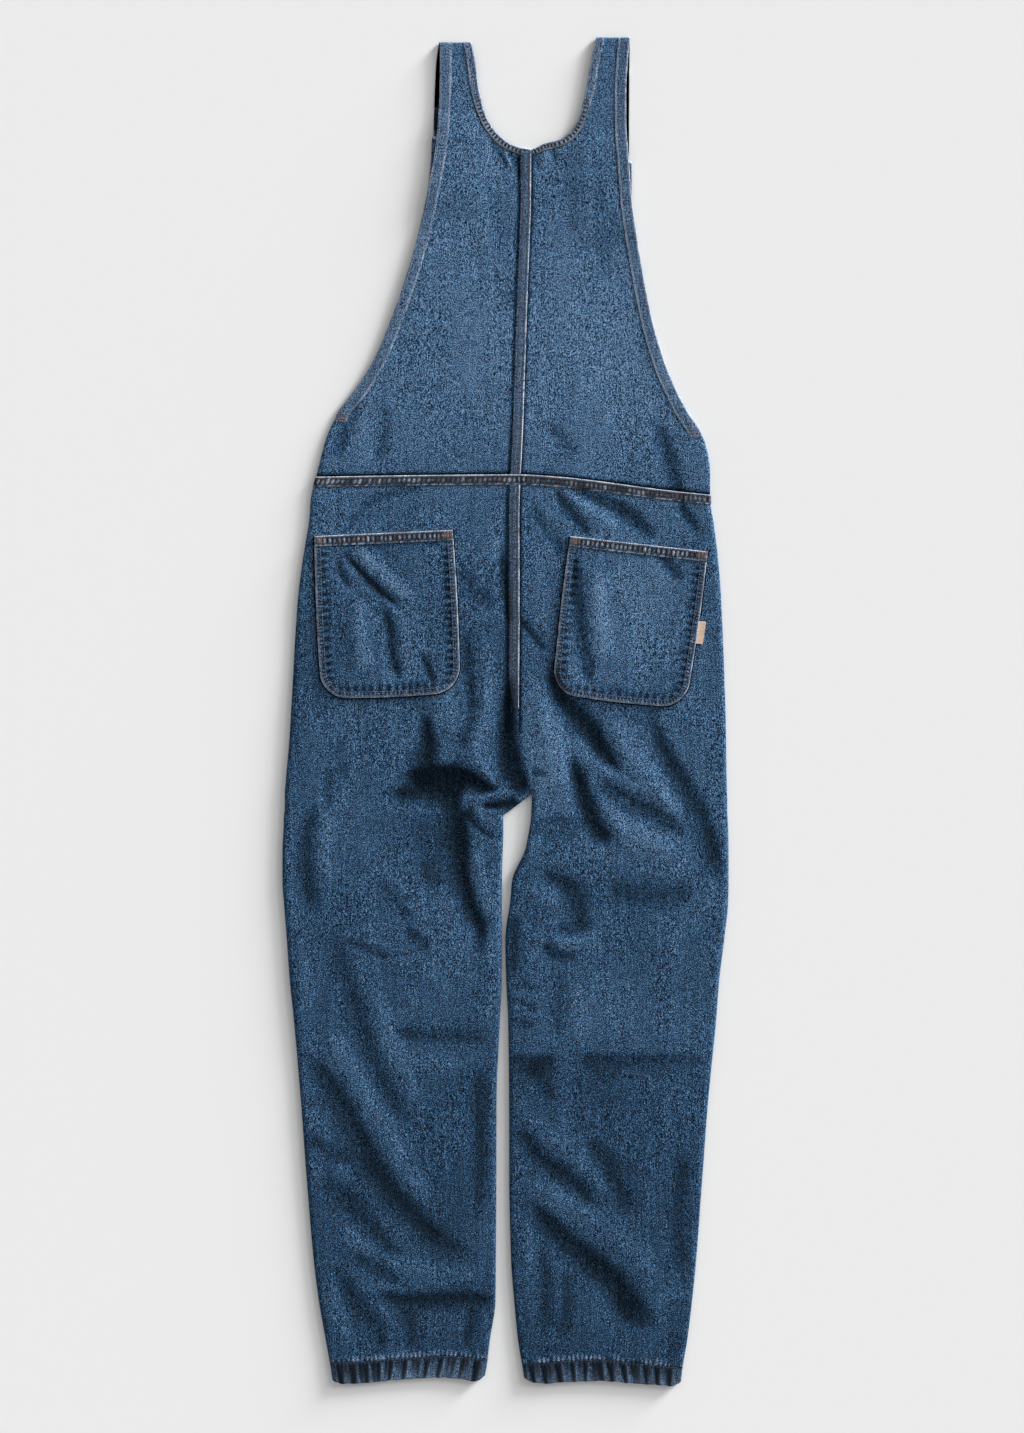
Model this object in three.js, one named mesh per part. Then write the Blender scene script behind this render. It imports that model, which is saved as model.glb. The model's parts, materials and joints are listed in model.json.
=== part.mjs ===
// Denim dungarees, laid flat on their front with the back up.
//
// Every cloth piece is a wall of real thickness. The front lies flat on the ground and the back lies
// on it. They meet at the side seams and inseams, where each wall curls towards the other. The back
// panels run on into the straps, which fold over at the shoulder and end under the bib's corners.
//
// Millimetres. +X is the wearer's right, +Y runs from the hems to the straps and +Z is up.
// The origin is on the ground, under the middle of the box that holds the garment.
import * as THREE from "three";
import { mergeVertices } from "three/addons/utils/BufferGeometryUtils.js";

const { lerp, smoothstep, degToRad } = THREE.MathUtils;

// Driving sizes of the cloth and its make.
const CLOTH = 1.4; // a denim wall
const SEAM_GAP = 0.3; // between two pieces at a seam
const LOOSE = 0.6; // extra room between layers that aren't sewn together
const SEWN_ON = SEAM_GAP + 0.25; // room under a piece that is sewn on to another
const FLOOR_LAYER = CLOTH / 2; // height of the front's middle surface where it lies flat
const SEAM_HEIGHT = 3; // where front and back meet at the edge of the flattened tube
const BACK_ROUND = 5; // width of the back's rounded edge
const FELL = { width: 11.5, rise: 0.9, step: 0.8 }; // a felled seam's extra layers

// The waist seam, from the left side to the right, and the row of the panels that it bends.
const WAIST = [
  { x: -212, y: 261 },
  { x: -84, y: 263 },
  { x: 11, y: 263.7 },
  { x: 60, y: 261 },
  { x: 105, y: 256 },
  { x: 172, y: 247 },
  { x: 228, y: 241 },
];
const WAIST_LEVEL = 262;

// Sections of the seat and legs. The inner edges meet in the seat seam down to the crotch, and are
// the two inseams below it.
const CROTCH = -91;
const LEGS = [
  { y: 264, leftOut: -210, leftIn: 17, rightIn: 17, rightOut: 227.7 },
  { y: 236, leftOut: -216.6, leftIn: 15.8, rightIn: 15.8, rightOut: 227.7 },
  { y: 213, leftOut: -218.5, leftIn: 15.4, rightIn: 15.4, rightOut: 231.1 },
  { y: 169, leftOut: -225.5, leftIn: 15.6, rightIn: 15.6, rightOut: 236.6 },
  { y: 124, leftOut: -231.1, leftIn: 15.6, rightIn: 15.6, rightOut: 240 },
  { y: 13, leftOut: -237.8, leftIn: 15, rightIn: 15, rightOut: 244.4 },
  { y: -32, leftOut: -240.5, leftIn: 14.8, rightIn: 14.8, rightOut: 245.5 },
  { y: -60, leftOut: -243, leftIn: 18, rightIn: 18, rightOut: 245.8 },
  { y: -80, leftOut: -244.7, leftIn: 23.5, rightIn: 23.5, rightOut: 246.2 },
  { y: CROTCH, leftOut: -245.5, leftIn: 28, rightIn: 28, rightOut: 246.5 },
  { y: -99, leftOut: -245.5, leftIn: 19.5, rightIn: 29, rightOut: 246.7 },
  { y: -110, leftOut: -245.7, leftIn: 5, rightIn: 28.6, rightOut: 246.7 },
  { y: -116, leftOut: -246.5, leftIn: -2.6, rightIn: 28.4, rightOut: 247 },
  { y: -132, leftOut: -247, leftIn: -2.2, rightIn: 26.2, rightOut: 247.8 },
  { y: -154, leftOut: -248.2, leftIn: -2.9, rightIn: 21.7, rightOut: 248.2 },
  { y: -188, leftOut: -248.2, leftIn: -3.9, rightIn: 7.2, rightOut: 248.2 },
  { y: -210, leftOut: -246.7, leftIn: -4, rightIn: 5.2, rightOut: 247.8 },
  { y: -254, leftOut: -243.3, leftIn: -3.9, rightIn: -0.3, rightOut: 243.3 },
  { y: -299, leftOut: -240, leftIn: -4.2, rightIn: 0.6, rightOut: 237.8 },
  { y: -343, leftOut: -235.5, leftIn: -6.1, rightIn: 2.8, rightOut: 234.4 },
  { y: -433, leftOut: -227.7, leftIn: -9.8, rightIn: 3.9, rightOut: 225.5 },
  { y: -522, leftOut: -221, leftIn: -10, rightIn: 4.1, rightOut: 218.8 },
  { y: -611, leftOut: -213.3, leftIn: -10.6, rightIn: 6.1, rightOut: 212.1 },
  { y: -655, leftOut: -207.7, leftIn: -11, rightIn: 9.5, rightOut: 207.7 },
  { y: -700, leftOut: -199.9, leftIn: -17.3, rightIn: 13.9, rightOut: 202.1 },
  { y: -733, leftOut: -194, leftIn: -21.7, rightIn: 19.5, rightOut: 196.6 },
  { y: -750, leftOut: -191.8, leftIn: -26, rightIn: 22, rightOut: 195 },
];
const BACK_LEG_ROWS = [
  262, 250.5, 249.7, 205, 150, 95, 50, 15, -15, -38, -58, -76, -91, -100, -110, -116, -134, -155, -180,
  -208, -240, -280, -330, -384, -440, -500, -560, -610, -655, -695, -722,
];
const FRONT_LEG_ROWS = [
  262, 160, 60, -20, -58, -91, -100, -110, -116, -155, -208, -300, -440, -600, -695, -722,
];
const HEM_LEVEL = -722;

// Sections of the back above the waist: outside the side seams and armholes, inside the centre seam
// up to the neckline, which parts into the two straps.
const NECK_BASE = 625;
const BODY = [
  { y: 236, leftOut: -216.6, leftIn: 15.8, rightIn: 15.8, rightOut: 227.7 },
  { y: 264, leftOut: -210, leftIn: 17, rightIn: 17, rightOut: 227.7 },
  { y: 280, leftOut: -206, leftIn: 18, rightIn: 18, rightOut: 226.4 },
  { y: 302, leftOut: -200, leftIn: 19, rightIn: 19, rightOut: 221 },
  { y: 314, leftOut: -195.4, leftIn: 19.5, rightIn: 19.5, rightOut: 215.3 },
  { y: 325, leftOut: -190, leftIn: 20, rightIn: 20, rightOut: 207.7 },
  { y: 336, leftOut: -184, leftIn: 20.3, rightIn: 20.3, rightOut: 200.7 },
  { y: 358, leftOut: -167, leftIn: 21, rightIn: 21, rightOut: 189.5 },
  { y: 391, leftOut: -146.4, leftIn: 22.2, rightIn: 22.2, rightOut: 176 },
  { y: 436, leftOut: -127.5, leftIn: 23.6, rightIn: 23.6, rightOut: 163.1 },
  { y: 480, leftOut: -112, leftIn: 25.2, rightIn: 25.2, rightOut: 154.2 },
  { y: 525, leftOut: -98.6, leftIn: 27, rightIn: 27, rightOut: 146.4 },
  { y: 570, leftOut: -88.5, leftIn: 28.4, rightIn: 28.4, rightOut: 140.2 },
  { y: 614, leftOut: -80, leftIn: 28.6, rightIn: 28.6, rightOut: 137 },
  { y: NECK_BASE, leftOut: -78.3, leftIn: 28.6, rightIn: 28.6, rightOut: 136 },
  { y: 626.3, leftOut: -78.1, leftIn: 19, rightIn: 32, rightOut: 135.9 },
  { y: 628.5, leftOut: -77.8, leftIn: 12.5, rightIn: 36, rightOut: 135.7 },
  { y: 631.5, leftOut: -77.4, leftIn: 5, rightIn: 43, rightOut: 135.5 },
  { y: 636, leftOut: -76.9, leftIn: -2.4, rightIn: 60, rightOut: 135.2 },
  { y: 642, leftOut: -76.3, leftIn: -8.6, rightIn: 70, rightOut: 134.8 },
  { y: 659, leftOut: -75, leftIn: -20.4, rightIn: 81, rightOut: 134.2 },
  { y: 692, leftOut: -73.3, leftIn: -29.5, rightIn: 89.6, rightOut: 134.2 },
  { y: 725, leftOut: -73, leftIn: -34, rightIn: 95.2, rightOut: 136.2 },
  { y: 750, leftOut: -73.6, leftIn: -39.5, rightIn: 101, rightOut: 138.4 },
];
const BODY_ROWS = [
  262, 284, 304, 320, 336, 354, 376, 404, 440, 480, 512, 532, 550, 568, 588, 608, 625, 626.3, 628.5,
  631.5, 637, 646, 660, 684, 716,
];
const ARMHOLE_FOOT = { left: 325, right: 314 }; // where the side seam ends and the armhole starts

// The straps: the level of each fold, and the stretch that runs on under the back to the strap's end.
const STRAPS = {
  left: {
    fold: 744.5,
    end: 588,
    button: { x: -64, y: 613 },
    under: [
      { y: 750, out: -73.6, in: -39.5 },
      { y: 718, out: -77.4, in: -38.5 },
      { y: 670, out: -79.4, in: -40 },
      { y: 588, out: -81.8, in: -44 },
    ],
  },
  right: {
    fold: 750,
    end: 556,
    button: { x: 120, y: 582 },
    under: [
      { y: 750, out: 138.4, in: 101 },
      { y: 718, out: 138, in: 99.5 },
      { y: 650, out: 137.6, in: 99 },
      { y: 556, out: 137.6, in: 100 },
    ],
  },
};
const STRAP_TOP = 4.4; // height of the upper layer's middle surface at the fold

// The bib's upper corners, and how far its sides lie inside the armholes, or outside where negative.
const BIB_TOP = { left: { x: -83, y: 640 }, right: { x: 140, y: 612 } };
const BIB_INSET = [
  { y: 236, left: 0, right: 0 },
  { y: 314, left: 0, right: 0 },
  { y: 345, left: 1.5, right: 1.5 },
  { y: 545, left: 2, right: 1.5 },
  { y: 590, left: -1, right: -2 },
  { y: 640, left: -6, right: -4.5 },
];
const BIB_ROWS = [0, 0.06, 0.12, 0.17, 0.21, 0.25, 0.3, 0.36, 0.5, 0.64, 0.76, 0.81, 0.87, 1];

// A metal button on each strap's end, flat side down. It lifts the strap's end, which lifts the bib.
const BUTTON = { radius: 8.5, thickness: 1.8, rim: 0.6, sides: 20 };
const STRAP_LIFT = BUTTON.thickness + SEAM_GAP;
const BIB_LIFT = STRAP_LIFT + CLOTH + SEAM_GAP + 0.1;

// Turned hems at the ankles: their stitched upper edge and their lower fold.
const HEMS = {
  left: [
    { x: -193, top: -724.4, bottom: -747.8 },
    { x: -157, top: -723, bottom: -746.6 },
    { x: -110, top: -719, bottom: -742 },
    { x: -63, top: -717, bottom: -740.6 },
    { x: -31, top: -719.6, bottom: -745 },
    { x: -18, top: -721, bottom: -739.5 },
  ],
  right: [
    { x: 18, top: -726, bottom: -745 },
    { x: 48, top: -724, bottom: -747 },
    { x: 100, top: -721.2, bottom: -744.4 },
    { x: 145, top: -725, bottom: -747.2 },
    { x: 190, top: -729.6, bottom: -750 },
    { x: 200, top: -730.5, bottom: -748.5 },
  ],
};
const HEM = { wall: 2, gathers: 14, rise: 0.8, stepsPerGather: 4 };

// Height of the back's middle surface where no fold lifts or sinks it.
const LOFT = [
  { y: 750, rise: STRAP_TOP },
  { y: 640, rise: 4.5 },
  { y: 330, rise: 4.8 },
  { y: 262, rise: 5 },
  { y: 100, rise: 5.6 },
  { y: -90, rise: 6.4 },
  { y: -250, rise: 6 },
  { y: -500, rise: 5.4 },
  { y: -700, rise: 4.9 },
  { y: -750, rise: 4.9 },
];

// The largest folds of the back: soft ridges, and troughs where the height is negative.
const FOLDS = [
  { from: [14, -15], via: [15, -55], to: [30, -92], width: 13, height: -3.4 },
  { from: [-84, 2], via: [-85, -30], to: [-82, -58], width: 13, height: -2.2 },
  { from: [-114, -72], via: [-60, -72], to: [-8, -97], width: 12, height: -3.2 },
  { from: [-70, -32], via: [-36, -46], to: [-2, -86], width: 13, height: 4.6 },
  { from: [-36, -98], via: [-24, -112], to: [-12, -142], width: 11, height: 3.4 },
  { from: [-58, -96], via: [-62, -150], to: [-36, -212], width: 14, height: -2.8 },
  { from: [-224, -100], via: [-228, -150], to: [-224, -212], width: 13, height: -2 },
  { from: [58, 20], via: [96, -14], to: [131, -64], width: 13, height: -2.8 },
  { from: [36, 18], via: [40, -36], to: [62, -88], width: 15, height: 3 },
  { from: [70, -50], via: [88, -92], to: [114, -144], width: 13, height: -3.6 },
  { from: [92, -34], via: [116, -72], to: [150, -112], width: 16, height: 2.6 },
  { from: [98, -84], via: [150, -112], to: [209, -152], width: 14, height: -2 },
  { from: [40, -184], via: [60, -196], to: [84, -194], width: 14, height: -1.6 },
  { from: [-112, -362], via: [-66, -372], to: [-16, -372], width: 14, height: -1.3 },
  { from: [10, -384], via: [110, -386], to: [216, -384], width: 14, height: -1.5 },
  { from: [-216, -366], via: [-160, -424], to: [-106, -502], width: 22, height: -1.3 },
  { from: [8, -476], via: [50, -496], to: [102, -540], width: 18, height: 1.5 },
  { from: [44, -554], via: [100, -604], to: [166, -654], width: 18, height: -1.8 },
  { from: [-144, -646], via: [-80, -646], to: [-14, -656], width: 15, height: -1.2 },
  { from: [168, 316], via: [178, 290], to: [190, 262], width: 13, height: -1.2 },
];

// Patch pockets of one cut, sewn on each side. Each is placed by its upper left corner, and turned
// about it by its tilt in degrees.
const POCKET = {
  width: 154,
  height: 180,
  belly: 1.5, // how far each side bows out at mid height
  sag: 2.5, // how far the lower edge bows down
  corner: 28, // radius of the lower corners
  hem: 12,
  hemRise: 0.8,
};
const POCKETS = {
  left: { corner: [-212.5, 194.8], tilt: 2.6 },
  right: { corner: [71.8, 194.8], tilt: -6.4 },
};
// A plain cloth tab held by the right pocket's outer seam.
const TAB = { width: 9, length: 26, thickness: 1, below: 83 };

const DENIM = 0x486d9b;
const SHADED_DENIM = 0x3f628f;
const ECRU = 0xd9bb9a;
const COPPER = 0xa5663f;

function cloth(name, geometry, colour) {
  const mesh = new THREE.Mesh(geometry, new THREE.MeshStandardMaterial({ color: colour, roughness: 0.9 }));
  mesh.name = name;
  return mesh;
}

// A smooth line without overshoot through one column of a table, read at a place along another.
function line(table, value, by = "y") {
  const rows = [...table].sort((a, b) => a[by] - b[by]);
  const step = rows.slice(1).map((row, i) => row[by] - rows[i][by]);
  const rate = rows.slice(1).map((row, i) => (row[value] - rows[i][value]) / step[i]);
  const slope = rows.map((_, i) => {
    const before = rate[i - 1] ?? rate[i];
    const after = rate[i] ?? rate[i - 1];
    return before * after <= 0 ? 0 : (2 * before * after) / (before + after);
  });
  return (place) => {
    const at = THREE.MathUtils.clamp(place, rows[0][by], rows.at(-1)[by]);
    const i = Math.max(0, rows.findIndex((row) => row[by] >= at) - 1);
    const t = (at - rows[i][by]) / step[i];
    const rise = rate[i] * step[i];
    const bend = (slope[i] * step[i] - rise) * (1 - t) + (rise - slope[i + 1] * step[i]) * t;
    return rows[i][value] + rise * t + bend * t * (1 - t);
  };
}

const waist = line(WAIST, "y", "x");
const loft = line(LOFT, "rise");
const edgesOf = (table, side) => ({ out: line(table, `${side}Out`), in: line(table, `${side}In`) });
const legEdges = { left: edgesOf(LEGS, "left"), right: edgesOf(LEGS, "right") };
const bodyEdges = { left: edgesOf(BODY, "left"), right: edgesOf(BODY, "right") };
const hemEdges = {
  left: { top: line(HEMS.left, "top", "x"), bottom: line(HEMS.left, "bottom", "x") },
  right: { top: line(HEMS.right, "top", "x"), bottom: line(HEMS.right, "bottom", "x") },
};

// From left to right, whichever side of the garment the outer edge is on.
const leftToRight = (side, outer, inner) => (side === "left" ? [outer, inner] : [inner, outer]);

const FOLD_STEPS = 16;
const foldLines = FOLDS.map(({ from, via, to, width, height }) => {
  const [start, middle, end] = [from, via, to].map((point) => new THREE.Vector2(...point));
  return { points: new THREE.QuadraticBezierCurve(start, middle, end).getPoints(FOLD_STEPS), width, height };
});

// How far the folds lift the back. Each is highest along its middle and dies out at its ends.
function foldLift(x, y) {
  const here = new THREE.Vector2(x, y);
  return foldLines.reduce((sum, { points, width, height }) => {
    const away = points.map((point) => point.distanceTo(here));
    const nearest = Math.min(...away);
    const along = away.indexOf(nearest) / FOLD_STEPS;
    const taper = smoothstep(along, 0, 0.25) * smoothstep(1 - along, 0, 0.25);
    return sum + height * taper * Math.exp(-((nearest / width) ** 2));
  }, 0);
}

// 1 where the bib lies over a strap's end, falling to 0 towards the bib's middle and waist, and above it.
function cornerShare(side, x, y) {
  const { end, under } = STRAPS[side];
  const inwards = side === "left" ? x - under.at(-1).in : under.at(-1).in - x;
  const top = BIB_TOP[side].y;
  const over = (1 - smoothstep(inwards, 6, 50)) * smoothstep(y, end - 64, end - 8);
  return over * (1 - smoothstep(y, top + 5, top + 50));
}
const bibHeight = (x, y) => FLOOR_LAYER + BIB_LIFT * (cornerShare("left", x, y) + cornerShare("right", x, y));

// Height of the back's middle surface, clear of the front and of the bib's raised corners.
const backHeight = (x, y) => Math.max(loft(y) + foldLift(x, y), bibHeight(x, y) + CLOTH + SEAM_GAP + LOOSE);

// A closed wall bent from a box. `surface(u, v)` is its middle surface over columns u, from the left,
// and rows v, from the top, and `raise(u, v)` is the extra thickness of its outer side.
function wall(columns, rows, surface, { raise = () => 0, thickness = CLOTH } = {}) {
  const box = new THREE.BoxGeometry(1, 1, 1, columns.length - 1, rows.length - 1, 1);
  box.deleteAttribute("normal");
  box.deleteAttribute("uv");
  const geometry = mergeVertices(box);
  const position = geometry.getAttribute("position");
  for (let i = 0; i < position.count; i++) {
    const u = columns[Math.round((position.getX(i) + 0.5) * (columns.length - 1))];
    const v = rows[Math.round((0.5 - position.getY(i)) * (rows.length - 1))];
    const offset = position.getZ(i) > 0 ? thickness / 2 + raise(u, v) : -thickness / 2;
    const place = surface(u, v).addScaledVector(outwards(surface, u, v, rows), offset);
    position.setXYZ(i, ...place);
  }
  geometry.computeVertexNormals();
  return geometry;
}

function outwards(surface, u, v, rows) {
  const du = 1e-3;
  const dv = 1e-4 * (rows[0] - rows.at(-1));
  const across = surface(u + du, v).sub(surface(u - du, v));
  const up = surface(u, v + dv).sub(surface(u, v - dv));
  return across.cross(up).normalize();
}

// Columns of a panel: -1 to 0 is the rim at its left edge, 0 to 1 the panel, 1 to 2 its other rim.
const RIM = [-1, -0.6];
const withRims = (middle) => [...RIM, ...middle, ...RIM.map((u) => 1 - u).reverse()];
const evenly = (count) => Array.from({ length: count + 1 }, (_, i) => i / count);

// A point of a panel's section: level across, with rims that curl to the seam. `span` is its left and
// right edge, `curls` how far each rim curls, from 0 for a flat edge to 1 for a side seam.
function sectionPoint(u, y, span, curls, { height, seamHeight, round, thickness = CLOTH }) {
  const [edge, inward, curl] = u < 0.5 ? [span[0], 1, curls[0]] : [span[1], -1, curls[1]];
  const rim = round + thickness / 2;
  if (u >= 0 && u <= 1) {
    const x = lerp(span[0] + rim, span[1] - rim, u);
    return new THREE.Vector3(x, y, height(x, y));
  }
  const turn = u < 0 ? 1 + u : 2 - u;
  const angle = (turn * Math.PI) / 2;
  const flat = rim * turn;
  const curled = thickness / 2 + round * (1 - Math.cos(angle));
  const x = edge + inward * lerp(flat, curled, Math.sqrt(curl));
  const level = height(x, y);
  return new THREE.Vector3(x, y, lerp(level, seamHeight + (level - seamHeight) * Math.sin(angle), curl));
}

// The same point where the panel's rows bend with a seam: `bend(v, x)` is the level of row v at x.
function bentPoint(section, bend, u, v) {
  let y = v;
  for (let pass = 0; pass < 3; pass++) y = bend(v, section(u, y).x);
  return section(u, y);
}

const FRONT_SEAM = SEAM_HEIGHT - SEAM_GAP / 2;
const BACK = { height: backHeight, seamHeight: SEAM_HEIGHT + SEAM_GAP / 2, round: BACK_ROUND };
const FRONT = { height: bibHeight, seamHeight: FRONT_SEAM, round: FRONT_SEAM - FLOOR_LAYER };
const BACK_RIM = BACK_ROUND + CLOTH / 2;

// A leg's left and right edge at one level, half a gap clear of the seat seam.
function legSpan(side, y) {
  const gap = side === "left" ? -SEAM_GAP / 2 : SEAM_GAP / 2;
  return leftToRight(side, legEdges[side].out(y), legEdges[side].in(y) + gap);
}

// A leg panel. Above the crotch its inner edge is the flat seat seam, below it the curled inseam.
function legPanel(name, side, layer, rows, middle, raise, colour) {
  const section = (u, y) => {
    const inseam = 1 - smoothstep(y, CROTCH - 6, CROTCH + 24);
    return sectionPoint(u, y, legSpan(side, y), leftToRight(side, 1, inseam), layer);
  };
  const bend = (v, x) => {
    const toWaist = (waist(x) - SEAM_GAP / 2 - WAIST_LEVEL) * smoothstep(v, 150, WAIST_LEVEL);
    const toHem = hemEdges[side].top(x) + SEAM_GAP / 2 - HEM_LEVEL;
    return v + toWaist + toHem * (1 - smoothstep(v, HEM_LEVEL, HEM_LEVEL + 60));
  };
  const surface = (u, v) => bentPoint(section, bend, u, v);
  return cloth(name, wall(withRims(middle), rows, surface, { raise }), colour);
}

// The column at which a felled seam along a left panel's inner edge ends.
const fellColumn = (edges, y) => 1 - (FELL.width - BACK_RIM) / (edges.in(y) - edges.out(y) - 2 * BACK_RIM);
const beforeFell = (column) => column - FELL.step / 200;

// The waist seam is felled down on to both back legs, and the seat seam on to the left one.
function backLeg(side) {
  const fell = fellColumn(legEdges.left, 150);
  const middle = {
    left: [0, 0.1, 0.22, 0.34, 0.46, 0.56, 0.65, 0.73, 0.8, 0.86, 0.92, beforeFell(fell), fell, 1],
    right: [0, 0.06, 0.12, 0.18, 0.25, 0.32, 0.4, 0.48, 0.57, 0.67, 0.78, 0.89, 1],
  }[side];
  const raise = (u, v) => {
    const onWaist = v > WAIST_LEVEL - FELL.width - 0.1;
    const onSeat = side === "left" && u > fell - 0.001 && v > CROTCH + 40;
    return onWaist || onSeat ? FELL.rise : 0;
  };
  return legPanel(`back_leg_${side}`, side, BACK, BACK_LEG_ROWS, middle, raise, DENIM);
}

function frontLeg(side) {
  return legPanel(`front_leg_${side}`, side, FRONT, FRONT_LEG_ROWS, evenly(10), () => 0, SHADED_DENIM);
}

// The turned hem of a leg. Its rows run from its stitched edge, 0, to its fold, 1.
function hem(side, layerName, columns, lift, layer, colour) {
  const section = (u, y) => {
    const point = sectionPoint(u, y, legSpan(side, y), [1, 1], { ...layer, thickness: HEM.wall });
    point.z += lift(u);
    return point;
  };
  const { top, bottom } = hemEdges[side];
  const bend = (v, x) => lerp(top(x) - SEAM_GAP / 2, bottom(x), v);
  const surface = (u, v) => bentPoint(section, bend, u, v);
  return cloth(`hem_${layerName}_${side}`, wall(columns, [0, 0.5, 1], surface, { thickness: HEM.wall }), colour);
}

// The hem's gathers stand up from the back in even waves.
function backHem(side) {
  const wave = (u) => (u > 0 && u < 1 ? Math.sin(u * HEM.gathers * 2 * Math.PI) * HEM.rise : 0);
  return hem(side, "back", withRims(evenly(HEM.gathers * HEM.stepsPerGather)), wave, BACK, DENIM);
}

function frontHem(side) {
  const floor = HEM.wall / 2;
  const layer = { height: () => floor, seamHeight: FRONT_SEAM, round: FRONT_SEAM - floor };
  return hem(side, "front", withRims(evenly(10)), () => 0, layer, SHADED_DENIM);
}

// The surface of a back panel and its strap. Its rows count along the cloth: up to the fold, over it,
// and down again on the under side.
function bodySurface(side, foldStart, foldEnd) {
  const { under, button } = STRAPS[side];
  const foldRadius = (STRAP_TOP - FLOOR_LAYER) / 2;
  const gap = side === "left" ? -SEAM_GAP / 2 : SEAM_GAP / 2;
  const section = (u, y) => {
    const seam = y < NECK_BASE + 0.5 ? gap : 0;
    const span = leftToRight(side, bodyEdges[side].out(y), bodyEdges[side].in(y) + seam);
    const foot = ARMHOLE_FOOT[side];
    const curl = lerp(1, 0.5, smoothstep(y, foot, foot + 24)) * (1 - smoothstep(y, 400, 480));
    return sectionPoint(u, y, span, leftToRight(side, curl, 0), BACK);
  };
  const bend = (v, x) => {
    const toWaist = waist(x) + SEAM_GAP / 2 - WAIST_LEVEL;
    return v + toWaist * (1 - smoothstep(v, WAIST_LEVEL, WAIST_LEVEL + 80));
  };
  const [left, right] = [section(-1, foldStart).x, section(2, foldStart).x];
  const underEdge = { out: line(under, "out"), in: line(under, "in") };
  const underX = (x, y) => {
    const span = leftToRight(side, underEdge.out(y), underEdge.in(y));
    return lerp(...span, (x - left) / (right - left));
  };
  return (u, v) => {
    if (v <= foldStart) return bentPoint(section, bend, u, v);
    const { x } = section(u, foldStart);
    if (v >= foldEnd) {
      const y = foldStart - (v - foldEnd);
      const lift = STRAP_LIFT * (1 - smoothstep(y, button.y + 16, button.y + 56));
      return new THREE.Vector3(underX(x, y), y, FLOOR_LAYER + lift);
    }
    const turn = (v - foldStart) / foldRadius;
    const y = foldStart + foldRadius * Math.sin(turn);
    const z = FLOOR_LAYER + foldRadius * (1 + Math.cos(turn));
    return new THREE.Vector3(lerp(x, underX(x, foldStart), turn / Math.PI), y, z);
  };
}

// A back panel above the waist with its strap. The centre seam is felled on to the left panel.
function bodyPanel(side) {
  const foldRadius = (STRAP_TOP - FLOOR_LAYER) / 2;
  const foldStart = STRAPS[side].fold - foldRadius - CLOTH / 2;
  const foldEnd = foldStart + Math.PI * foldRadius;
  const fell = fellColumn(bodyEdges.left, 450);
  const middle = {
    left: [0, 0.13, 0.27, 0.42, 0.57, 0.71, 0.84, beforeFell(fell), fell, 1],
    right: [0, 0.14, 0.28, 0.43, 0.58, 0.72, 0.86, 1],
  }[side];
  const rows = [
    ...BODY_ROWS,
    ...evenly(4).map((share) => lerp(foldStart, foldEnd, share)),
    ...evenly(5).slice(1).map((share) => foldEnd + share * (foldStart - STRAPS[side].end)),
  ];
  const raise = (u, v) => (side === "left" && u > fell - 0.001 && v < NECK_BASE + 0.5 ? FELL.rise : 0);
  const surface = bodySurface(side, foldStart, foldEnd);
  return cloth(`back_body_${side}`, wall(withRims(middle), rows.reverse(), surface, { raise }), DENIM);
}

// The bib: the front above the waist, flat on the ground but for its corners over the strap ends.
function bib() {
  const inset = { left: line(BIB_INSET, "left"), right: line(BIB_INSET, "right") };
  const curl = (side, y) => 1 - smoothstep(y, ARMHOLE_FOOT[side] - 8, ARMHOLE_FOOT[side] + 12);
  const section = (u, y) => {
    const span = [bodyEdges.left.out(y) + inset.left(y), bodyEdges.right.out(y) - inset.right(y)];
    return sectionPoint(u, y, span, [curl("left", y), curl("right", y)], FRONT);
  };
  const { left, right } = BIB_TOP;
  const topAt = (x) => lerp(left.y, right.y, (x - left.x) / (right.x - left.x));
  const bend = (v, x) => lerp(topAt(x), waist(x) + SEAM_GAP / 2, v);
  const nearStrap = [0, 0.08, 0.15, 0.2, 0.25, 0.3, 0.36, 0.43];
  const columns = withRims([...nearStrap, 0.5, ...nearStrap.toReversed().map((share) => 1 - share)]);
  return cloth("bib", wall(columns, BIB_ROWS, (u, v) => bentPoint(section, bend, u, v)), SHADED_DENIM);
}

// A place on a pocket, `across` from its left corner and `down` from its upper edge.
function onPocket({ corner, tilt }, across, down) {
  const turn = degToRad(tilt);
  return [
    corner[0] + across * Math.cos(turn) + down * Math.sin(turn),
    corner[1] + across * Math.sin(turn) - down * Math.cos(turn),
  ];
}

// A patch pocket: the back leg's own surface moved out, with a turned hem along its upper edge.
function pocket(side) {
  const { width, height, belly, sag, corner, hem: hemWidth, hemRise } = POCKET;
  const straight = height - corner;
  const surface = (u, v) => {
    const low = Math.min(Math.max(0, v - straight), corner);
    const inset = corner - Math.sqrt(corner ** 2 - low ** 2) - belly * Math.sin((v / height) * Math.PI);
    const down = v + sag * Math.sin(u * Math.PI) * (v / height) ** 2;
    const [x, y] = onPocket(POCKETS[side], lerp(inset, width - inset, u), down);
    return new THREE.Vector3(x, y, backHeight(x, y) + CLOTH + SEWN_ON);
  };
  const roundRows = evenly(4).slice(1).map((share) => straight + corner * Math.sin((share * Math.PI) / 2));
  const rows = [0, hemWidth, hemWidth + FELL.step, 50, 85, 120, straight, ...roundRows];
  const raise = (_, v) => (v <= hemWidth ? hemRise : 0);
  return cloth(`pocket_${side}`, wall(evenly(9), rows, surface, { raise }), DENIM);
}

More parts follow.
